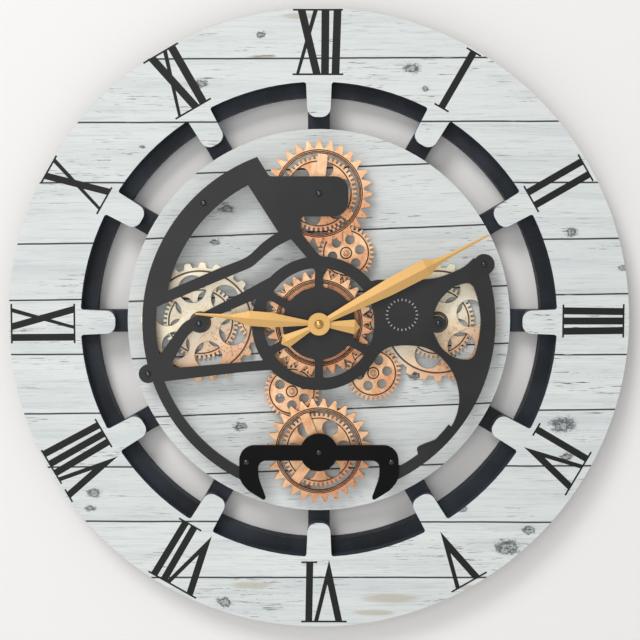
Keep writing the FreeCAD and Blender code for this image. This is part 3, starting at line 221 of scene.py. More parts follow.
    # the back isn't printed: bare pressed fibres, drawn coarser than they are so that they show
    fibres = add("TexNoise", {"Vector": place, "Scale": patternScale(boardBack["fibreSize"]), "Detail": 5,
                              "Roughness": 0.75})
    rear = add("Math", [facing, 0.5], operation="GREATER_THAN")
    fibreMask = add("MapRange", [fibres, *boardBack["fibreMask"]], **smooth)
    dark = add("Math", [rear, fibreMask], operation="MULTIPLY")
    coats += [(edge, boardEdge["opening"]), (rim, boardEdge["rim"]), (rear, boardBack["bare"]),
              (dark, boardBack["fibre"])]
    front = add("Math", [facing, 0.5], operation="LESS_THAN")
    faint = add("Math", [grain["streaks"], boardRelief["grainShare"]], operation="MULTIPLY")
    pressed = add("Math", [faint, gap], operation="SUBTRACT")
    relief = add("Math", [pressed, front], operation="MULTIPLY")
    layFinish(add, shader, style["paint"], coats, relief, boardRelief["depth"], boardRelief["strength"])
    return material


# sizes and depth in mm
frameCoat = {"deep": "#161B22", "light": "#2B323C", "speck": "#6A7380", "cloudSize": 55.56,
             "cloudMask": (0.35, 0.7), "speckSize": 1.538, "speckMask": (0.66, 0.74, 0, 0.5),
             "rollerSize": 1.111, "depth": 0.08, "strength": 0.6}


# matt paint on fibreboard: blue-black, with dusty specks and a faint roller texture
def mattPaintedFibreboard(name):
    material, add, shader, place = newMaterial(name, 0.6, specular=0.3)
    cloud = add("TexNoise", {"Vector": place, "Scale": patternScale(frameCoat["cloudSize"]), "Detail": 5,
                             "Roughness": 0.55})
    dust = add("TexNoise", {"Vector": place, "Scale": patternScale(frameCoat["speckSize"]), "Detail": 2,
                            "Roughness": 0.55})
    roller = add("TexNoise", {"Vector": place, "Scale": patternScale(frameCoat["rollerSize"]), "Detail": 2,
                              "Roughness": 0.55})
    coats = [(add("MapRange", [cloud, *frameCoat["cloudMask"]], **smooth), frameCoat["light"]),
             (add("MapRange", [dust, *frameCoat["speckMask"]], **smooth), frameCoat["speck"])]
    layFinish(add, shader, frameCoat["deep"], coats, roller, frameCoat["depth"], frameCoat["strength"])
    return material


plateCoat = {"base": "#1B1C1D", "sheen": "#28292B", "specular": 0.34}
bracketCoat = {"base": "#0A0A0A", "sheen": "#111112", "specular": 0.09}
# sizes and depth in mm; the roughness is a share of the sheen's noise added to a least value
powderCoat = {"peelSize": 0.8, "peelDepth": 0.03, "peelStrength": 0.5, "sheenSize": 71.43,
              "sheenMask": (0.3, 0.75), "sheenRoughness": (0.16, 0.34)}


# powder-coated steel: satin black, whose orange-peel surface breaks up the shine
def powderCoatedSteel(name, style):
    material, add, shader, place = newMaterial(name, 0.42, specular=style["specular"])
    peel = add("TexNoise", {"Vector": place, "Scale": patternScale(powderCoat["peelSize"]), "Detail": 2,
                            "Roughness": 0.55})
    wide = add("TexNoise", {"Vector": place, "Scale": patternScale(powderCoat["sheenSize"]), "Detail": 3,
                            "Roughness": 0.55})
    roughness = add("Math", [wide, *powderCoat["sheenRoughness"]], operation="MULTIPLY_ADD")
    material.node_tree.links.new(roughness, shader.inputs["Roughness"])
    coats = [(add("MapRange", [wide, *powderCoat["sheenMask"]], **smooth), style["sheen"])]
    layFinish(add, shader, style["base"], coats, peel, powderCoat["peelDepth"], powderCoat["peelStrength"])
    return material


# each look's warm tint is painted shade for the lower right of a gear
copperLook = {"bright": "#FBD0A6", "mid": "#E5A678", "dark": "#32150A", "paintedShadeColor": "#D9946A",
              "metallic": 0.4}
champagneLook = {"bright": "#FFF9E4", "mid": "#FDE9C6", "dark": "#43230F", "paintedShadeColor": "#EBAE80",
                 "metallic": 0.18}
# sizes and depth in mm; painted shade makes the plating warmer and darker along the slant towards the lower
# right, and the side walls are darkened partly by wax and partly by painted shade; wax is a share of what each
# mask gives
plating = {"mottleSize": 10.53, "mottleMask": (0.36, 0.68), "waxSize": 2.381, "waxMask": (0.5, 0.66, 0, 0.75),
           "patchSize": 20.83, "patchMask": (0.4, 0.62), "shadeSlant": (0.6, -1, 0),
           "shadeSlantMask": (-0.005, 0.055, 0, 0.85), "leastWax": 0.35, "grooveCore": 0.45, "grooveWax": 0.97,
           "waxAndShadeWallMask": (0.75, 0.25, 0, 0.92), "pits": 0.25, "depth": 0.3, "strength": 0.8}
# radii of the waxed grooves round each gear, and half their width
platedGrooves = {
    "copperRing": (copperLook, [38.6, 40.0, 41.5], 0.65), "copperFine": (copperLook, [30.9, 10.2], 0.7),
    "copperSmall": (copperLook, [21.5, 5.3], 0.8), "copperPlain": (copperLook, [12.0], 0.55),
    "copperPin": (copperLook, [3.3, 1.5], 0.65),
    "champagneWheel": (champagneLook, [49.3, 9.6, 8.0], 1.05), "champagneFine": (champagneLook, [30.9], 0.9)}


# antique-plated ABS: a soft metal sheen, with brown wax left in the grooves and in blotches, and painted shade
# towards the lower right and on the side walls
def antiquePlatedAbs(name, look, grooveRadii, grooveWidth):
    material, add, shader, place = newMaterial(name, 0.34, look["metallic"])
    flat = add("VectorMath", [place, (1, 1, 0)], operation="MULTIPLY")
    reach = add("VectorMath", [flat], "Value", operation="LENGTH")
    mottle = add("TexNoise", {"Vector": place, "Scale": patternScale(plating["mottleSize"]), "Detail": 6,
                              "Roughness": 0.62})
    # painted shade: the plating is warmer towards the lower right, away from the light, and its wax blotches are
    # darker there
    shadeSlant = add("VectorMath", [place, plating["shadeSlant"]], "Value", operation="DOT_PRODUCT")
    paintedShadeMask = add("MapRange", [shadeSlant, *plating["shadeSlantMask"]], **smooth)
    waxGrain = add("TexNoise", {"Vector": place, "Scale": patternScale(plating["waxSize"]), "Detail": 5,
                                "Roughness": 0.72})
    patchGrain = add("TexNoise", {"Vector": place, "Scale": patternScale(plating["patchSize"]), "Detail": 3,
                                  "Roughness": 0.55})
    wax = add("MapRange", [waxGrain, *plating["waxMask"]], **smooth)
    patches = add("MapRange", [patchGrain, *plating["patchMask"]], **smooth)
    blotches = add("Math", [wax, patches], operation="MULTIPLY")
    share = add("Math", [paintedShadeMask, plating["leastWax"]], operation="ADD")
    groove = 0.0
    for radius in grooveRadii:
        offset = add("Math", [reach, radius * mm], operation="SUBTRACT")
        distance = add("Math", [offset], operation="ABSOLUTE")
        line = add("MapRange", [distance, grooveWidth * mm, grooveWidth * plating["grooveCore"] * mm], **smooth)
        groove = add("Math", [groove, line], operation="MAXIMUM")
    # side walls of teeth, holes and bars are darker than the faces: partly wax held there, partly painted shade
    facing = add("SeparateXYZ", [add("NewGeometry", output="True Normal")], "Y")
    level = add("Math", [facing], operation="ABSOLUTE")
    coats = [(add("MapRange", [mottle, *plating["mottleMask"]], **smooth), look["mid"]),
             # painted shade: the warm tint towards the lower right
             (paintedShadeMask, look["paintedShadeColor"]),
             (add("Math", [blotches, share], operation="MULTIPLY"), look["dark"]),
             (add("Math", [groove, plating["grooveWax"]], operation="MULTIPLY"), look["dark"]),
             # darker side walls: partly wax, partly painted shade
             (add("MapRange", [level, *plating["waxAndShadeWallMask"]], **smooth), look["dark"])]
    pits = add("Math", [mottle, plating["pits"]], operation="MULTIPLY")
    relief = add("Math", [pits, groove], operation="SUBTRACT")
    layFinish(add, shader, look["bright"], coats, relief, plating["depth"], plating["strength"])
    return material


# plain grained finishes: two colours, the grain's size in mm, and its depth in mm
grainedFinishes = {
    # gold anodised aluminium: blasted and matt, its 0.3 mm grains drawn coarser so that they show
    "goldAnodised": {"colors": ("#DDB373", "#D3A662"), "fade": (0.3, 0.7), "size": 0.5556, "detail": 2,
                     "roughness": 0.4, "metallic": 0.5, "depth": 0.02, "strength": 0.4},
    # moulded ABS: dark, with a spark-eroded texture that keeps it dull
    "darkCollarAbs": {"colors": ("#241C17", "#3A2E26"), "fade": (0.4, 0.75), "size": 0.4167, "detail": 2,
                      "roughness": 0.5, "metallic": 0.0, "depth": 0.03, "strength": 0.6},
    "blackCaseAbs": {"colors": ("#141415", "#232425"), "fade": (0.4, 0.75), "size": 0.4167, "detail": 2,
                     "roughness": 0.5, "metallic": 0.0, "depth": 0.03, "strength": 0.6},
    # pale screen ink, thick enough to be rough
    "paleInk": {"colors": ("#B8BABB", "#D0D2D3"), "fade": (0.4, 0.75), "size": 0.4167, "detail": 2,
                "roughness": 0.5, "metallic": 0.0, "depth": 0.03, "strength": 0.6},
}


def grainedFinish(name, style):
    material, add, shader, place = newMaterial(name, style["roughness"], style["metallic"])
    grains = add("TexNoise", {"Vector": place, "Scale": patternScale(style["size"]),
                              "Detail": style["detail"], "Roughness": 0.55})
    base, light = style["colors"]
    coats = [(add("MapRange", [grains, *style["fade"]], **smooth), light)]
    layFinish(add, shader, base, coats, grains, style["depth"], style["strength"])
    return material


turnedMetals = {"turnedBrass": ("#EBC07C", "#C4924C", 0.22), "turnedSteel": ("#B9BBBD", "#85888C", 0.3),
                "blackenedSteel": ("#56585C", "#34363A", 0.16)}
polish = {"smearSize": 4.167, "markSize": 0.25, "depth": 0.01, "strength": 0.5}


# turned and polished metal: bright, with faint fine marks that blur its reflections
def turnedMetal(name, base, shade, roughness):
    material, add, shader, place = newMaterial(name, roughness, 0.95)
    smear = add("TexNoise", {"Vector": place, "Scale": patternScale(polish["smearSize"]), "Detail": 3,
                             "Roughness": 0.55})
    marks = add("TexNoise", {"Vector": place, "Scale": patternScale(polish["markSize"]), "Detail": 1,
                             "Roughness": 0.55})
    layFinish(add, shader, base, [(smear, shade)], marks, polish["depth"], polish["strength"])
    return material


screenInk = {"solid": "#17181A", "thin": "#8D9293", "speckLong": 2.778, "speckWide": 0.5556,
             "speckMask": (0.68, 0.76, 0, 0.5)}


# screen-printed ink: near black, worn through in tiny specks
def printedInk(name):
    material, add, shader, place = newMaterial(name, 0.55, specular=0.3)
    long, wide = patternScale(screenInk["speckLong"]), patternScale(screenInk["speckWide"])
    drawn = add("Mapping", {"Vector": place, "Scale": (long, long, wide)})
    wear = add("TexNoise", {"Vector": drawn, "Scale": 1, "Detail": 4, "Roughness": 0.7})
    worn = add("MapRange", [wear, *screenInk["speckMask"]], **smooth)
    layFinish(add, shader, screenInk["solid"], [(worn, screenInk["thin"])])
    return material


sleeve = {"dark": "#1B1C1E", "band": "#A8714A", "scuff": "#55585C", "bandSpacing": 104.7,
          "bandLevel": 0.35, "scuffSize": 2, "scuffShare": 0.2}


# shrink-wrapped cell: a dark glossy sleeve with a plain copper-coloured end band
def cellSleeve(name):
    material, add, shader, place = newMaterial(name, 0.3)
    along = add("SeparateXYZ", [place], "X")
    turn = add("Math", [along, fullTurn * patternScale(sleeve["bandSpacing"])], operation="MULTIPLY")
    band = add("Math", [add("Math", [turn], operation="SINE"), sleeve["bandLevel"]],
               operation="GREATER_THAN")
    wear = add("TexNoise", {"Vector": place, "Scale": patternScale(sleeve["scuffSize"]), "Detail": 3,
                            "Roughness": 0.55})
    scuffs = add("Math", [wear, sleeve["scuffShare"]], operation="MULTIPLY")
    layFinish(add, shader, sleeve["dark"], [(band, sleeve["band"]), (scuffs, sleeve["scuff"])])
    return material


felt = {"deep": "#141415", "light": "#3A3A3C", "fibreSize": 0.3846, "depth": 0.2, "strength": 0.9}


# pressed felt: dull and fibrous, its 0.2 mm fibres drawn coarser so that they show
def pressedFelt(name):
    material, add, shader, place = newMaterial(name, 0.95)
    fibres = add("TexNoise", {"Vector": place, "Scale": patternScale(felt["fibreSize"]), "Detail": 5,
                              "Roughness": 0.8})
    layFinish(add, shader, felt["deep"], [(fibres, felt["light"])], fibres, felt["depth"], felt["strength"])
    return material


finish = {"printedBoard": printedFibreboard("printedBoard", boardPrint),
          "printedDisc": printedFibreboard("printedDisc", discPrint),
          "mattPaintedBoard": mattPaintedFibreboard("mattPaintedBoard"),
          "coatedFrontPlate": powderCoatedSteel("coatedFrontPlate", plateCoat),
          "coatedBracket": powderCoatedSteel("coatedBracket", bracketCoat),
          "screenInk": printedInk("screenInk"), "cellSleeve": cellSleeve("cellSleeve"),
          "pressedFelt": pressedFelt("pressedFelt")}
for name, (look, radii, width) in platedGrooves.items():
    finish[name] = antiquePlatedAbs(name, look, radii, width)
for name, style in grainedFinishes.items():
    finish[name] = grainedFinish(name, style)
for name, (base, shade, roughness) in turnedMetals.items():
    finish[name] = turnedMetal(name, base, shade, roughness)

# the frame's own pieces that stay, by finish
nodeFinish = {
    "printedBoard": ["dial_board"], "printedDisc": ["inner_disc"], "mattPaintedBoard": ["spoked_frame"],
    "coatedFrontPlate": ["front_plate"], "coatedBracket": ["lower_bracket"],
    "goldAnodised": ["hour_hand", "minute_hand"], "blackenedSteel": ["plate_nut"],
    "turnedBrass": ["centre_sleeve", "centre_spacer", "hour_tube", "idler_pins"],
    "turnedSteel": ["gear_axles", "minute_shaft", "hanger_plate", "hanger_screws", "frame_screws",
                    "drive_screws"],
    "copperPin": ["small_gear_pins"], "copperPlain": ["motor_pinion"], "copperFine": ["centre_drive_gear"],
    "darkCollarAbs": ["axle_collars", "plate_spacers", "bracket_spacers"],
    "blackCaseAbs": ["movement_case", "drive_case", "setting_knob"],
    "cellSleeve": ["clock_battery", "drive_batteries"], "pressedFelt": ["wall_pads"],
}
for look, nodes in nodeFinish.items():
    for node in nodes:
        frame["nodes"][node].data.materials.clear()
        frame["nodes"][node].data.materials.append(finish[look])
print("finishes made")


# a point at an angle on a circle
def polar(radius, angle):
    return radius * math.cos(angle), radius * math.sin(angle)


def circlePoints(radius, count, x=0.0, y=0.0):
    corners = [polar(radius, fullTurn * step / count) for step in range(count)]
    return [(x + across, y + up) for across, up in corners]


# a flat piece drawn as seen from the front, in mm, with its back at zero and its edges eased
def flatMesh(name, outlines, thickness, ease, back=0.0):
    curve = bpy.data.curves.new(name, "CURVE")
    curve.dimensions = "2D"
    curve.fill_mode = "BOTH"
    curve.extrude = (thickness / 2 - ease) * mm
    curve.bevel_depth = ease * mm
    curve.bevel_resolution = 2
    curve.offset = -ease * mm
    for outline in outlines:
        spline = curve.splines.new("POLY")
        spline.points.add(len(outline) - 1)
        for point, (x, y) in zip(spline.points, outline):
            point.co = (x * mm, y * mm, 0, 1)
        spline.use_cyclic_u = True
    holder = bpy.data.objects.new(name, curve)
    bpy.context.scene.collection.objects.link(holder)
    bpy.context.view_layer.update()
    mesh = bpy.data.meshes.new_from_object(holder.evaluated_get(bpy.context.evaluated_depsgraph_get()))
    bpy.data.objects.remove(holder)
    bpy.data.curves.remove(curve)
    mesh.transform(Matrix.Translation((0, 0, (back + thickness / 2) * mm)))
    return mesh


# a turned piece: radius and height pairs in mm, spun about the viewing axis
def turnedMesh(name, profile, steps=40):
    points, faces = [], []
    for radius, height in profile:
        points += [(*polar(radius * mm, fullTurn * step / steps), height * mm) for step in range(steps)]
    for ring in range(len(profile) - 1):
        for step in range(steps):
            following = (step + 1) % steps
            faces.append((ring * steps + step, ring * steps + following,
                          (ring + 1) * steps + following, (ring + 1) * steps + step))
    faces.append(tuple(range((len(profile) - 1) * steps, len(profile) * steps)))
    mesh = bpy.data.meshes.new(name)
    mesh.from_pydata(points, [], faces)
    mesh.update()
    return mesh


# joins meshes into one piece, stands it at a place and layer, and hangs it on its body
def standPiece(name, meshes, body, x, depth, z, look, sharpAngle=35):
    vertices, faces = [], []
    for mesh in meshes:
        start = len(vertices)
        vertices += [vertex.co.copy() for vertex in mesh.vertices]
        faces += [tuple(start + index for index in face.vertices) for face in mesh.polygons]
    joined = bpy.data.meshes.new(name)
    joined.from_pydata(vertices, [], faces)
    joined.update()
    joined.shade_smooth()
    joined.set_sharp_from_angle(angle=math.radians(sharpAngle))
    joined.materials.append(finish[look])
    piece = bpy.data.objects.new(name, joined)
    bpy.context.scene.collection.objects.link(piece)
    piece.rotation_euler = (math.pi / 2, 0, 0)
    piece.location = (x, -depth, z)
    bpy.context.view_layer.update()
    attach(piece, body)
    return piece


# how far a node's back and front stand in front of the wall
def layerOf(node):
    low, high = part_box(node)
    return -high[1], -low[1]


def placeOf(body):
    x, _, z = joints[body]["pos_m"]
    return x, z


# fine teeth; the deeper cut and lower tips of the 48-tooth gears follow the photograph
gearTrain = {"module": 1.53, "addendum": 0.8, "dedendum": 1.75, "play": 0.5, "pressure": 20,
             "trainTip": 36.4, "trainRoot": 32.9, "flankSteps": 4, "centreTeeth": 60, "trainTeeth": 48,
             "smallTeeth": 34, "idlerTeeth": 21, "centrePhase": 1.5, "ease": 0.18}
# circles are (radius, points round them)
axleBore, sleeveBore, pinBore = (4.06, 40), (5.56, 40), (2.56, 32)
idlerBore = (2.56, 40)
ringGear = {"teeth": 28, "tip": 51, "root": 43.2, "foot": 8.3, "belly": 5.6, "top": 3.6, "tipRound": 1.6,
            "valley": 0.25, "inner": (38.5, 96), "hub": (8.7, 56), "barWidth": 9.6, "barStep": 0.5,
            "barLap": (1, 1.5), "ridges": [(38.9, 39.7), (40.3, 41.2)], "ridgeSteps": 96,
            "ridgeHeight": 0.45, "thick": 4.0, "ease": 0.3, "ridgeEase": 0.2}
sideWheel = {"teeth": 24, "tip": 58, "root": 52.8, "foot": 8.5, "belly": None, "top": 6.1, "tipRound": 0.8,
             "holes": 13.3, "holeCircle": 32.9, "hub": (8.7, 56), "ridges": [(50.3, 51.6)],
             "ridgeSteps": 96, "ridgeHeight": 0.4, "thick": 3.0, "back": 1.0, "ease": 0.35,
             "hubEase": 0.3, "ridgeEase": 0.18}
smallGear = {"holes": 4.6, "holeCircle": 13.4, "boss": (4.9, 48), "bossEase": 0.25, "thick": 3.0,
             "ridge": (22.0, 22.9), "ridgeSteps": 72, "ridgeThick": 0.7, "ridgeBack": 2.65,
             "ridgeEase": 0.15}
trainHoles = {"ring": (7.7, 23.9), "side": (8.5, 22.2)}  # radius, and the circle they stand on


def involute(angle):
    return math.tan(angle) - angle


def fineHalfAngle(teeth, radius):
    pitch = gearTrain["module"] * teeth / 2
    pressure = math.radians(gearTrain["pressure"])
    base = pitch * math.cos(pressure)
    return (math.pi / (2 * teeth) - gearTrain["play"] / (2 * pitch) + involute(pressure)
            - involute(math.acos(min(1, base / radius))))


# teeth with true involute flanks
def fineOutline(teeth, phase):
    pitch = gearTrain["module"] * teeth / 2
    root = pitch - gearTrain["dedendum"] * gearTrain["module"]
    tip = pitch + gearTrain["addendum"] * gearTrain["module"]
    if teeth == gearTrain["trainTeeth"]:
        root, tip = gearTrain["trainRoot"], gearTrain["trainTip"]
    steps = gearTrain["flankSteps"]
    radii = [root + (tip - root) * step / steps for step in range(steps + 1)]
    points = []
    for tooth in range(teeth):
        middle = phase + tooth * fullTurn / teeth
        points += [polar(radius, middle - fineHalfAngle(teeth, radius)) for radius in radii]
        points += [polar(radius, middle + fineHalfAngle(teeth, radius)) for radius in reversed(radii)]
    return points


# coarse teeth: tapered or bellied sides, a rounded tip, and with a belly a rounded valley too
def coarseOutline(style, toothTurn):
    teeth, tip, root = style["teeth"], style["tip"], style["root"]
    shoulder = tip - style["tipRound"]
    half = (root + shoulder) / 2
    flank = [(root, style["foot"] / (2 * root))]
    if style["belly"]:
        flank.append((half, style["belly"] / (2 * half)))
    points = []
    for tooth in range(teeth):
        middle = math.radians(toothTurn) + tooth * fullTurn / teeth
        points += [polar(radius, middle - turn) for radius, turn in flank]
        for step in range(-3, 4):
            turn = step / 3 * math.pi / 2
            points.append(polar(shoulder + style["tipRound"] * math.cos(turn),
                                middle + math.sin(turn) * style["top"] / (2 * tip)))
        points += [polar(radius, middle + turn) for radius, turn in reversed(flank)]
        if style["belly"]:
            points.append(polar(root - style["valley"], middle + math.pi / teeth))
    return points


# the turn that puts a gear's teeth in the gaps of the gear beside it
def meshedPhase(place, teeth, phase, otherPlace, otherTeeth):
    towards = math.atan2(otherPlace[1] - place[1], otherPlace[0] - place[0])
    pastTooth = (towards - phase) * teeth / fullTurn
    return towards + math.pi - (0.5 - pastTooth) * fullTurn / otherTeeth


# each gear with its teeth and the gear that it is turned to
centreDriven = {"upper_small": "smallTeeth", "right_small": "smallTeeth", "lower_small": "smallTeeth",
                "left_idler": "idlerTeeth", "right_idler": "idlerTeeth"}
partners = {"top_train": "upper_small", "bottom_train": "lower_small",
            "left_train": "left_idler", "right_train": "right_idler"}
centrePhase = math.radians(gearTrain["centrePhase"])
phases = {}
for body, kind in centreDriven.items():
    phases[body] = meshedPhase((0, 0), gearTrain["centreTeeth"], centrePhase, placeOf(body), gearTrain[kind])
for body, partner in partners.items():
    phases[body] = meshedPhase(placeOf(partner), gearTrain[centreDriven[partner]], phases[partner],
                               placeOf(body), gearTrain["trainTeeth"])


def holesAround(radius, circle, turnDegrees, count=6):
    turns = [math.radians(turnDegrees) + turn * fullTurn / count for turn in range(count)]
    return [circlePoints(radius, 40, *polar(circle, turn)) for turn in turns]


# raised rings round a gear's rim, half sunk in its face
def rimRidges(node, style, faceHeight):
    height, steps = style["ridgeHeight"], style["ridgeSteps"]
    return [flatMesh(node, [circlePoints(outer, steps), circlePoints(inner, steps)], height * 2,
                     style["ridgeEase"], faceHeight - height) for inner, outer in style["ridges"]]


# a coarse ring on three bars, two ridges round its rim and a stepped hub
def makeRingGear(node, body, toothTurn, barTurn, bore):
    x, z = placeOf(body)
    back, front = layerOf(node)
    style = ringGear
    plateBack = (front - back) / mm - style["thick"]
    outlines = [coarseOutline(style, toothTurn), circlePoints(*style["inner"])]
    meshes = [flatMesh(node, outlines, style["thick"], style["ease"], plateBack)]
    meshes += rimRidges(node, style, plateBack + style["thick"])
    half = style["barWidth"] / 2
    near, far = bore[0] + style["barLap"][0], style["inner"][0] + style["barLap"][1]
    for turn in range(3):
        angle = math.radians(barTurn + turn * 120)
        bar = [(px * math.cos(angle) - py * math.sin(angle), px * math.sin(angle) + py * math.cos(angle))
               for px, py in ((near, -half), (far, -half), (far, half), (near, half))]
        meshes.append(flatMesh(node, [bar], style["thick"] - style["barStep"], style["ease"], plateBack))
    hub = [circlePoints(*style["hub"]), circlePoints(*bore)]
    meshes.append(flatMesh(node, hub, style["thick"] + plateBack, style["ease"]))
    piece = standPiece(node + "_rich", meshes, body, x, back, z, "copperRing")
    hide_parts(node)


def makeFineGear(node, body, teeth, holes, bore, look, slot):
    x, z = placeOf(body)
    back, front = layerOf(node)
    outlines = [fineOutline(teeth, phases[body]), circlePoints(*bore)] + holes
    mesh = flatMesh(node, outlines, (front - back) / mm, gearTrain["ease"])
    piece = standPiece(node + "_rich", [mesh], body, x, back, z, look)
    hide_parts(node)


# a coarse wheel with six round holes, a ridge inside its teeth and a hub
def makeSideWheel(node, body, toothTurn, holeTurn):
    x, z = placeOf(body)
    back, front = layerOf(node)
    style = sideWheel
    bore = circlePoints(*axleBore)
    outlines = [coarseOutline(style, toothTurn), bore]
    outlines += holesAround(style["holes"], style["holeCircle"], holeTurn)
    meshes = [flatMesh(node, outlines, style["thick"], style["ease"], style["back"])]
    meshes += rimRidges(node, style, style["back"] + style["thick"])
    meshes.append(flatMesh(node, [circlePoints(*style["hub"]), bore], (front - back) / mm, style["hubEase"]))
    piece = standPiece(node + "_rich", meshes, body, x, back, z, "champagneWheel")
    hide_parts(node)


# a fine gear with six holes, a boss and a ridge inside its teeth
def makeSmallGear(node, body, holeTurn):
    x, z = placeOf(body)
    back, front = layerOf(node)
    style = smallGear
    bore = circlePoints(*pinBore)
    outlines = [fineOutline(gearTrain["smallTeeth"], phases[body]), bore]
    outlines += holesAround(style["holes"], style["holeCircle"], holeTurn)
    inner, outer = [circlePoints(radius, style["ridgeSteps"]) for radius in style["ridge"]]
    boss = [circlePoints(*style["boss"]), bore]
    meshes = [flatMesh(node, outlines, style["thick"], gearTrain["ease"]),
              flatMesh(node, boss, (front - back) / mm, style["bossEase"]),
              flatMesh(node, [outer, inner], style["ridgeThick"], style["ridgeEase"], style["ridgeBack"])]
    piece = standPiece(node + "_rich", meshes, body, x, back, z, "copperSmall")
    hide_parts(node)


# teeth, bars and holes are turned as the photograph shows them, in degrees
makeRingGear("centre_ring_gear", "centre_train", 3.2, 84, sleeveBore)
makeRingGear("top_ring_gear", "top_train", -0.5, 84, axleBore)
makeRingGear("bottom_ring_gear", "bottom_train", 7.3, 112, axleBore)
fineLooks = {"ring": ("copperFine", "copper"), "side": ("champagneFine", "champagne")}
for side, kind, holeTurn in (("top", "ring", 15), ("bottom", "ring", 3), ("left", "side", 15),
                             ("right", "side", -15)):
    makeFineGear(side + "_fine_gear", side + "_train", gearTrain["trainTeeth"],
                 holesAround(*trainHoles[kind], holeTurn), axleBore, *fineLooks[kind])
for body in ("left_idler", "right_idler"):
    makeFineGear(body, body, gearTrain["idlerTeeth"], [], idlerBore, "copperPlain", "copper")
makeSideWheel("left_wheel", "left_train", -2.5, 43.5)
makeSideWheel("right_wheel", "right_train", 0.8, 15)
smallHoleTurns = {"upper_small": 14, "right_small": 8, "lower_small": 30}
for body, holeTurn in smallHoleTurns.items():
    makeSmallGear(body + "_gear", body, holeTurn)
print("gears made")

# heads as (radius, height) in mm: a domed screw with a small round recess, a rivet and a nut
screwHead = [(2.9, 0), (2.9, 0.35), (2.65, 0.95), (2.1, 1.4), (1.3, 1.7), (1.05, 1.75), (0.95, 1.2),
             (0.0, 1.2)]
rivetHead = [(3.3, 0), (3.3, 0.5), (3.05, 0.85), (2.2, 1.0), (1.7, 1.0), (1.5, 0.7), (1.1, 0.7),
             (0.9, 0.95), (0.0, 1.0)]
nutDome = [(4.3, 0), (4.3, 1.1), (4.0, 1.6), (3.4, 2.3), (2.5, 2.8), (1.6, 3.0), (1.3, 2.55), (0.0, 2.6)]
plateScrews = {"reach": 169, "shares": [(-0.649, 0.680), (0.933, 0.334), (-0.970, -0.287)]}
bracketScrews = {"side": 69.7, "drop": 133.3}
headStyle = {"sharpAngle": 50, "rivetSink": 0.85}


# a row of screw heads, of which the first stands for the frame's screws
def makeScrews(name, places, depth, node, first=0):
    for count, (x, z) in enumerate(places, first):
        piece = standPiece(f"{name}{count}", [turnedMesh(f"{name}{count}", screwHead)], "clock", x, depth, z,
                           "blackenedSteel", headStyle["sharpAngle"])
        if count == first:
            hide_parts(node)


plateFront = layerOf("front_plate")[1]
bracketFront = layerOf("lower_bracket")[1]
reach = plateScrews["reach"] * mm
makeScrews("plateScrew", [(across * reach, up * reach) for across, up in plateScrews["shares"]],
           plateFront, "plate_screws")
makeScrews("bracketScrew", [(side * bracketScrews["side"] * mm, -bracketScrews["drop"] * mm)
                            for side in (-1, 1)], bracketFront, "bracket_screws")
plateAxles = [placeOf(body) for body in ("top_train", "left_train", "right_train")]
makeScrews("axleScrew", plateAxles, plateFront, "plate_axle_screws")
makeScrews("axleScrew", [placeOf("bottom_train")], bracketFront, "bottom_axle_screw", len(plateAxles))
rivetBack = layerOf("small_gear_pins")[1] - headStyle["rivetSink"] * mm
for body in smallHoleTurns:
    x, z = placeOf(body)
    standPiece(f"{body}Rivet", [turnedMesh(body, rivetHead)], "clock", x, rivetBack, z, "copperPin",
               headStyle["sharpAngle"])
nut = standPiece("handNutDome", [turnedMesh("handNutDome", nutDome)], "minute", 0, layerOf("hand_nut")[0], 0,
                 "turnedBrass", headStyle["sharpAngle"])
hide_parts("hand_nut")
print("screws made")

# Roman numerals printed on the board, feet towards the middle; sizes in mm
numeral = {"foot": 235, "head": 297.5, "apex": 235.2, "thick": 6.8, "thin": 3.0, "thinHead": 4.2,
           "serifBar": 1.7, "shift": (-0.6, 1.6), "sideShare": 0.35, "hourTurn": 30, "lift": 0.06,
           "strokeLift": 0.004}
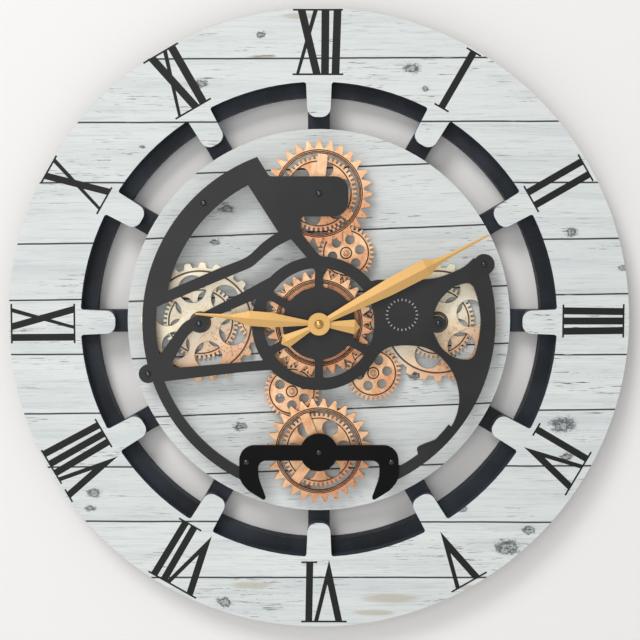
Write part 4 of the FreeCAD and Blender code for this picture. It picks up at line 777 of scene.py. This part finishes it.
# each stroke is (foot, head) across its hour's line, and each serif bar is (from, to);
# a sign may be trimmed at (foot, head), have thicker strokes, or end its V higher
hourSigns = [
    {"extra": 0.7, "thick": [(-1.5, -16.5), (6, 6.5), (16, 18)], "thin": [(-20.5, -2.5)],
     "heads": [(-24.5, 23)], "feet": [(-25, 23.5)]},
    {"thick": [(-1, -1)], "heads": [(-8.7, 7)], "feet": [(-8.7, 7)]},
    {"trim": (0, 1), "thick": [(-7.3, -7.3), (6.8, 6.8)], "heads": [(-15, 14.4)], "feet": [(-14.6, 14.2)]},
    {"trim": (1, 1.5), "thick": [(-10.5, -9.7), (-0.6, -0.6), (9.4, 8.6)], "heads": [(-17, 15.5)],
     "feet": [(-16.6, 15.5)]},
    {"trim": (1, 2.4), "thick": [(-15, -14.4), (6.2, 17.6)], "thin": [(5, -5.7)], "heads": [(-22.4, 27)],
     "feet": [(-21.9, -7.8)]},
    {"apexTrim": 3.7, "thick": [(0, -8.6)], "thin": [(1.2, 13.2)], "heads": [(-19.5, 20)], "feet": []},
    {"trim": (1.6, 0), "thick": [(-10.2, -20), (8.7, 9.8)], "thin": [(-8.8, 2.9)],
     "heads": [(-27.5, 17.2)], "feet": [(1.4, 16.9)]},
    {"thick": [(-14.8, -24.7), (4.6, 4.6), (14.1, 15.5)], "thin": [(-13.4, 0)], "heads": [(-32, 21.8)],
     "feet": [(-3.2, 21.9)]},
    {"thick": [(-16.2, -25.3), (0.9, 0), (10, 10.4), (19.6, 21.6)], "thin": [(-14.8, -6.9)],
     "heads": [(-32.7, -18.4), (-12, 26.4)], "feet": [(-5.5, 26.4)]},
    {"thick": [(-15, -15.5), (12.3, -5.2)], "thin": [(-5.9, 11.5)], "heads": [(-21.2, 17.2)],
     "feet": [(-21, 17.3)]},
    {"thick": [(7.8, -9.8)], "thin": [(-11.4, 8)], "heads": [(-17.2, 12.6)], "feet": [(-16.9, 12.8)]},
    {"extra": 0.9, "thick": [(1.4, -12), (9.6, 9.8)], "thin": [(-16.9, 2.9)],
     "heads": [(-21.2, 17.2)], "feet": [(-21.4, 17.8)]},
]


# a V: the thick stroke keeps its width until the thin one's outer edge cuts it to a point
def vStrokes(thickStroke, thinHead, thickHalf, thinHalf, apexLine, headLine):
    apex, thickHead = thickStroke
    side = 1 if thinHead > thickHead else -1
    outer, inner = thickHead - side * thickHalf, thickHead + side * thickHalf
    thinOuter, thinInner = thinHead + side * thinHalf, thinHead - side * thinHalf

    def meeting(start, slope):
        share = (start - inner) / ((apex - outer) - slope)
        return inner + share * (apex - outer), headLine + share * (apexLine - headLine)

    thick = [(outer, headLine), (inner, headLine), meeting(thinOuter, apex - thinOuter), (apex, apexLine)]
    thin = [(thinInner, headLine), (thinOuter, headLine), (apex, apexLine),
            meeting(thinInner, apex - thinOuter)]
    return [thick, thin] if side > 0 else [thick[::-1], thin[::-1]]


# the corners of a numeral's strokes and bars, as (across, outwards)
def numeralQuads(style, sign):
    footTrim, headTrim = sign.get("trim", (0, 0))
    footLine, headLine = style["foot"] + footTrim, style["head"] - headTrim
    thickHalf = (style["thick"] + sign.get("extra", 0)) / 2
    halves = {"thick": (thickHalf, thickHalf), "thin": (style["thin"] / 2, style["thinHead"] / 2)}
    quads, pointed = [], {}
    for kind, (footHalf, headHalf) in halves.items():
        for foot, head in sign.get(kind, []):
            if any(low <= foot <= high for low, high in sign["feet"]):
                quads.append([(foot - footHalf, footLine), (foot + footHalf, footLine),
                              (head + headHalf, headLine), (head - headHalf, headLine)])
            else:
                pointed[kind] = (foot, head)
    if pointed:
        apexLine = style["apex"] + sign.get("apexTrim", 0)
        quads += vStrokes(pointed["thick"], pointed["thin"][1], thickHalf, halves["thin"][1], apexLine, headLine)
    bar = style["serifBar"]
    for bars, low in ((sign["feet"], footLine), (sign["heads"], headLine - bar)):
        quads += [[(left, low), (right, low), (right, low + bar), (left, low + bar)] for left, right in bars]
    return quads


def makeNumeral(number, sign):
    style = numeral
    outward = polar(1, math.radians(90 - style["hourTurn"] * number))
    across = (outward[1], -outward[0])
    along = style["shift"][0] * outward[0] + style["shift"][1] * outward[1]
    aside = (style["shift"][0] * across[0] + style["shift"][1] * across[1]) * style["sideShare"]
    vertices, faces = [], []
    for count, corners in enumerate(numeralQuads(style, sign)):
        lift = style["lift"] + style["strokeLift"] * count  # overlapping strokes lie a hair apart
        faces.append(tuple(range(4 * count, 4 * count + 4)))
        for side, rise in corners:
            x, y = [across[axis] * (side + aside) + outward[axis] * (rise + along) for axis in (0, 1)]
            vertices.append((x * mm, y * mm, lift * mm))
    mesh = bpy.data.meshes.new(f"numeral{number}")
    mesh.from_pydata(vertices, [], faces)
    mesh.update()
    standPiece(f"numeral{number}", [mesh], "clock", 0, layerOf("dial_board")[1], 0, "screenInk")


for number, sign in enumerate(hourSigns):
    makeNumeral(number, sign)
print("numerals made")

# a plain ring of short ticks on the bare right-hand side of the front plate
tickRing = {"x": 402.0, "y": 313.5, "radius": 15.5, "length": 2.2, "width": 0.7, "count": 24,
            "mmPerPixel": 0.956, "lift": 0.05}


def makeTickRing():
    style = tickRing
    middle = Vector((style["x"] - photo["middleX"], photo["middleY"] - style["y"])) * style["mmPerPixel"]
    vertices, faces = [], []
    for turn in range(style["count"]):
        angle = fullTurn * turn / style["count"]
        outward, sideways = Vector(polar(1, angle)), Vector(polar(1, angle + math.pi / 2))
        faces.append(tuple(range(4 * turn, 4 * turn + 4)))
        for along, aside in ((0, -1), (1, -1), (1, 1), (0, 1)):
            spot = middle + outward * (style["radius"] - along * style["length"])
            spot += sideways * aside * style["width"] / 2
            vertices.append((spot.x * mm, spot.y * mm, style["lift"] * mm))
    mesh = bpy.data.meshes.new("tickRing")
    mesh.from_pydata(vertices, [], faces)
    mesh.update()
    standPiece("tickRing", [mesh], "clock", 0, plateFront, 0, "paleInk")


makeTickRing()

# eased edges on the plates and boards, which the frame leaves sharp
easedNodes = {"front_plate": 0.35, "lower_bracket": 0.35, "spoked_frame": 0.6, "dial_board": 0.4}
for node, width in easedNodes.items():
    ease = frame["nodes"][node].modifiers.new("ease", "BEVEL")
    ease.width = width * mm
    ease.segments = 2
    ease.limit_method = "ANGLE"
    ease.angle_limit = math.radians(50)
print("plates eased")

# the room: sizes in metres
room = {"side": 8, "wallBack": 0.0006, "floorHeight": -0.9, "wall": "#F6F6F7", "floor": "#F2F2F3"}


def makeStagePlane(name, location, rotation, color):
    half = room["side"] / 2
    corners = [(-half, -half, 0), (half, -half, 0), (half, half, 0), (-half, half, 0)]
    mesh = bpy.data.meshes.new(name)
    mesh.from_pydata(corners, [], [(0, 1, 2, 3)])
    plane = bpy.data.objects.new(name, mesh)
    bpy.context.scene.collection.objects.link(plane)
    plane.location, plane.rotation_euler = location, rotation
    material, add, shader, _ = newMaterial(name, 0.9)
    shader.inputs["Base Color"].default_value = hexColor(color)
    mesh.materials.append(material)
    return plane, material, add, shader


# the wall takes shadows but lets light and the eye through from behind
wall, wallPaint, addToWall, wallShader = makeStagePlane("wall", (0, room["wallBack"], 0), (math.pi / 2, 0, 0),
                                                        room["wall"])
wall.visible_shadow = False
wall.visible_diffuse = False
behind = addToWall("NewGeometry", output="Backfacing")
either = addToWall("MixShader", [behind, wallShader.outputs[0], addToWall("BsdfTransparent")])
wallTree = wallPaint.node_tree
wallTree.links.new(either, wallTree.nodes["Material Output"].inputs["Surface"])
makeStagePlane("floor", (0, 0, room["floorHeight"]), (0, 0, 0), room["floor"])

daylight = {"color": "#FEFDFB", "strength": 0.47}
world = bpy.data.worlds.new("studio")
bpy.context.scene.world = world
world.use_nodes = True
worldLight = world.node_tree.nodes["Background"]
worldLight.inputs["Color"].default_value = hexColor(daylight["color"])
worldLight.inputs["Strength"].default_value = daylight["strength"]

lamps = {"key": {"place": (-1.2, -2.8, 2.3), "size": 1.25, "watts": 52, "color": "#FFFDF8"},
         "fill": {"place": (-0.5, -2.3, 0.15), "size": 1.2, "watts": 10, "color": "#FFFEFC"}}
for name, style in lamps.items():
    light = bpy.data.lights.new(name, "AREA")
    light.size = style["size"]
    light.energy = style["watts"]
    light.color = hexColor(style["color"])[:3]
    lamp = bpy.data.objects.new(name, light)
    bpy.context.scene.collection.objects.link(lamp)
    lamp.location = style["place"]
    lamp.rotation_euler = (-Vector(style["place"])).to_track_quat("-Z", "Y").to_euler()

# the camera looks at the middle of the photograph, on the board's front
view = {"distance": 1.45, "elevation": 4.5, "sensor": 36}
aimX, aimZ = pixelToBoard(photo["side"] / 2, photo["side"] / 2)
aim = Vector((aimX, -layerOf("dial_board")[1], aimZ))
lift = math.radians(view["elevation"])
camera = bpy.data.objects.new("camera", bpy.data.cameras.new("camera"))
bpy.context.scene.collection.objects.link(camera)
camera.data.sensor_width = view["sensor"]
camera.data.lens = view["sensor"] * view["distance"] / (photo["side"] * photo["mmPerPixel"] * mm)
camera.location = aim + Vector((0, -math.cos(lift), math.sin(lift))) * view["distance"]
camera.rotation_euler = (aim - camera.location).to_track_quat("-Z", "Y").to_euler()
bpy.context.scene.camera = camera
bpy.context.scene.view_settings.view_transform = "Standard"
print("stage ready")
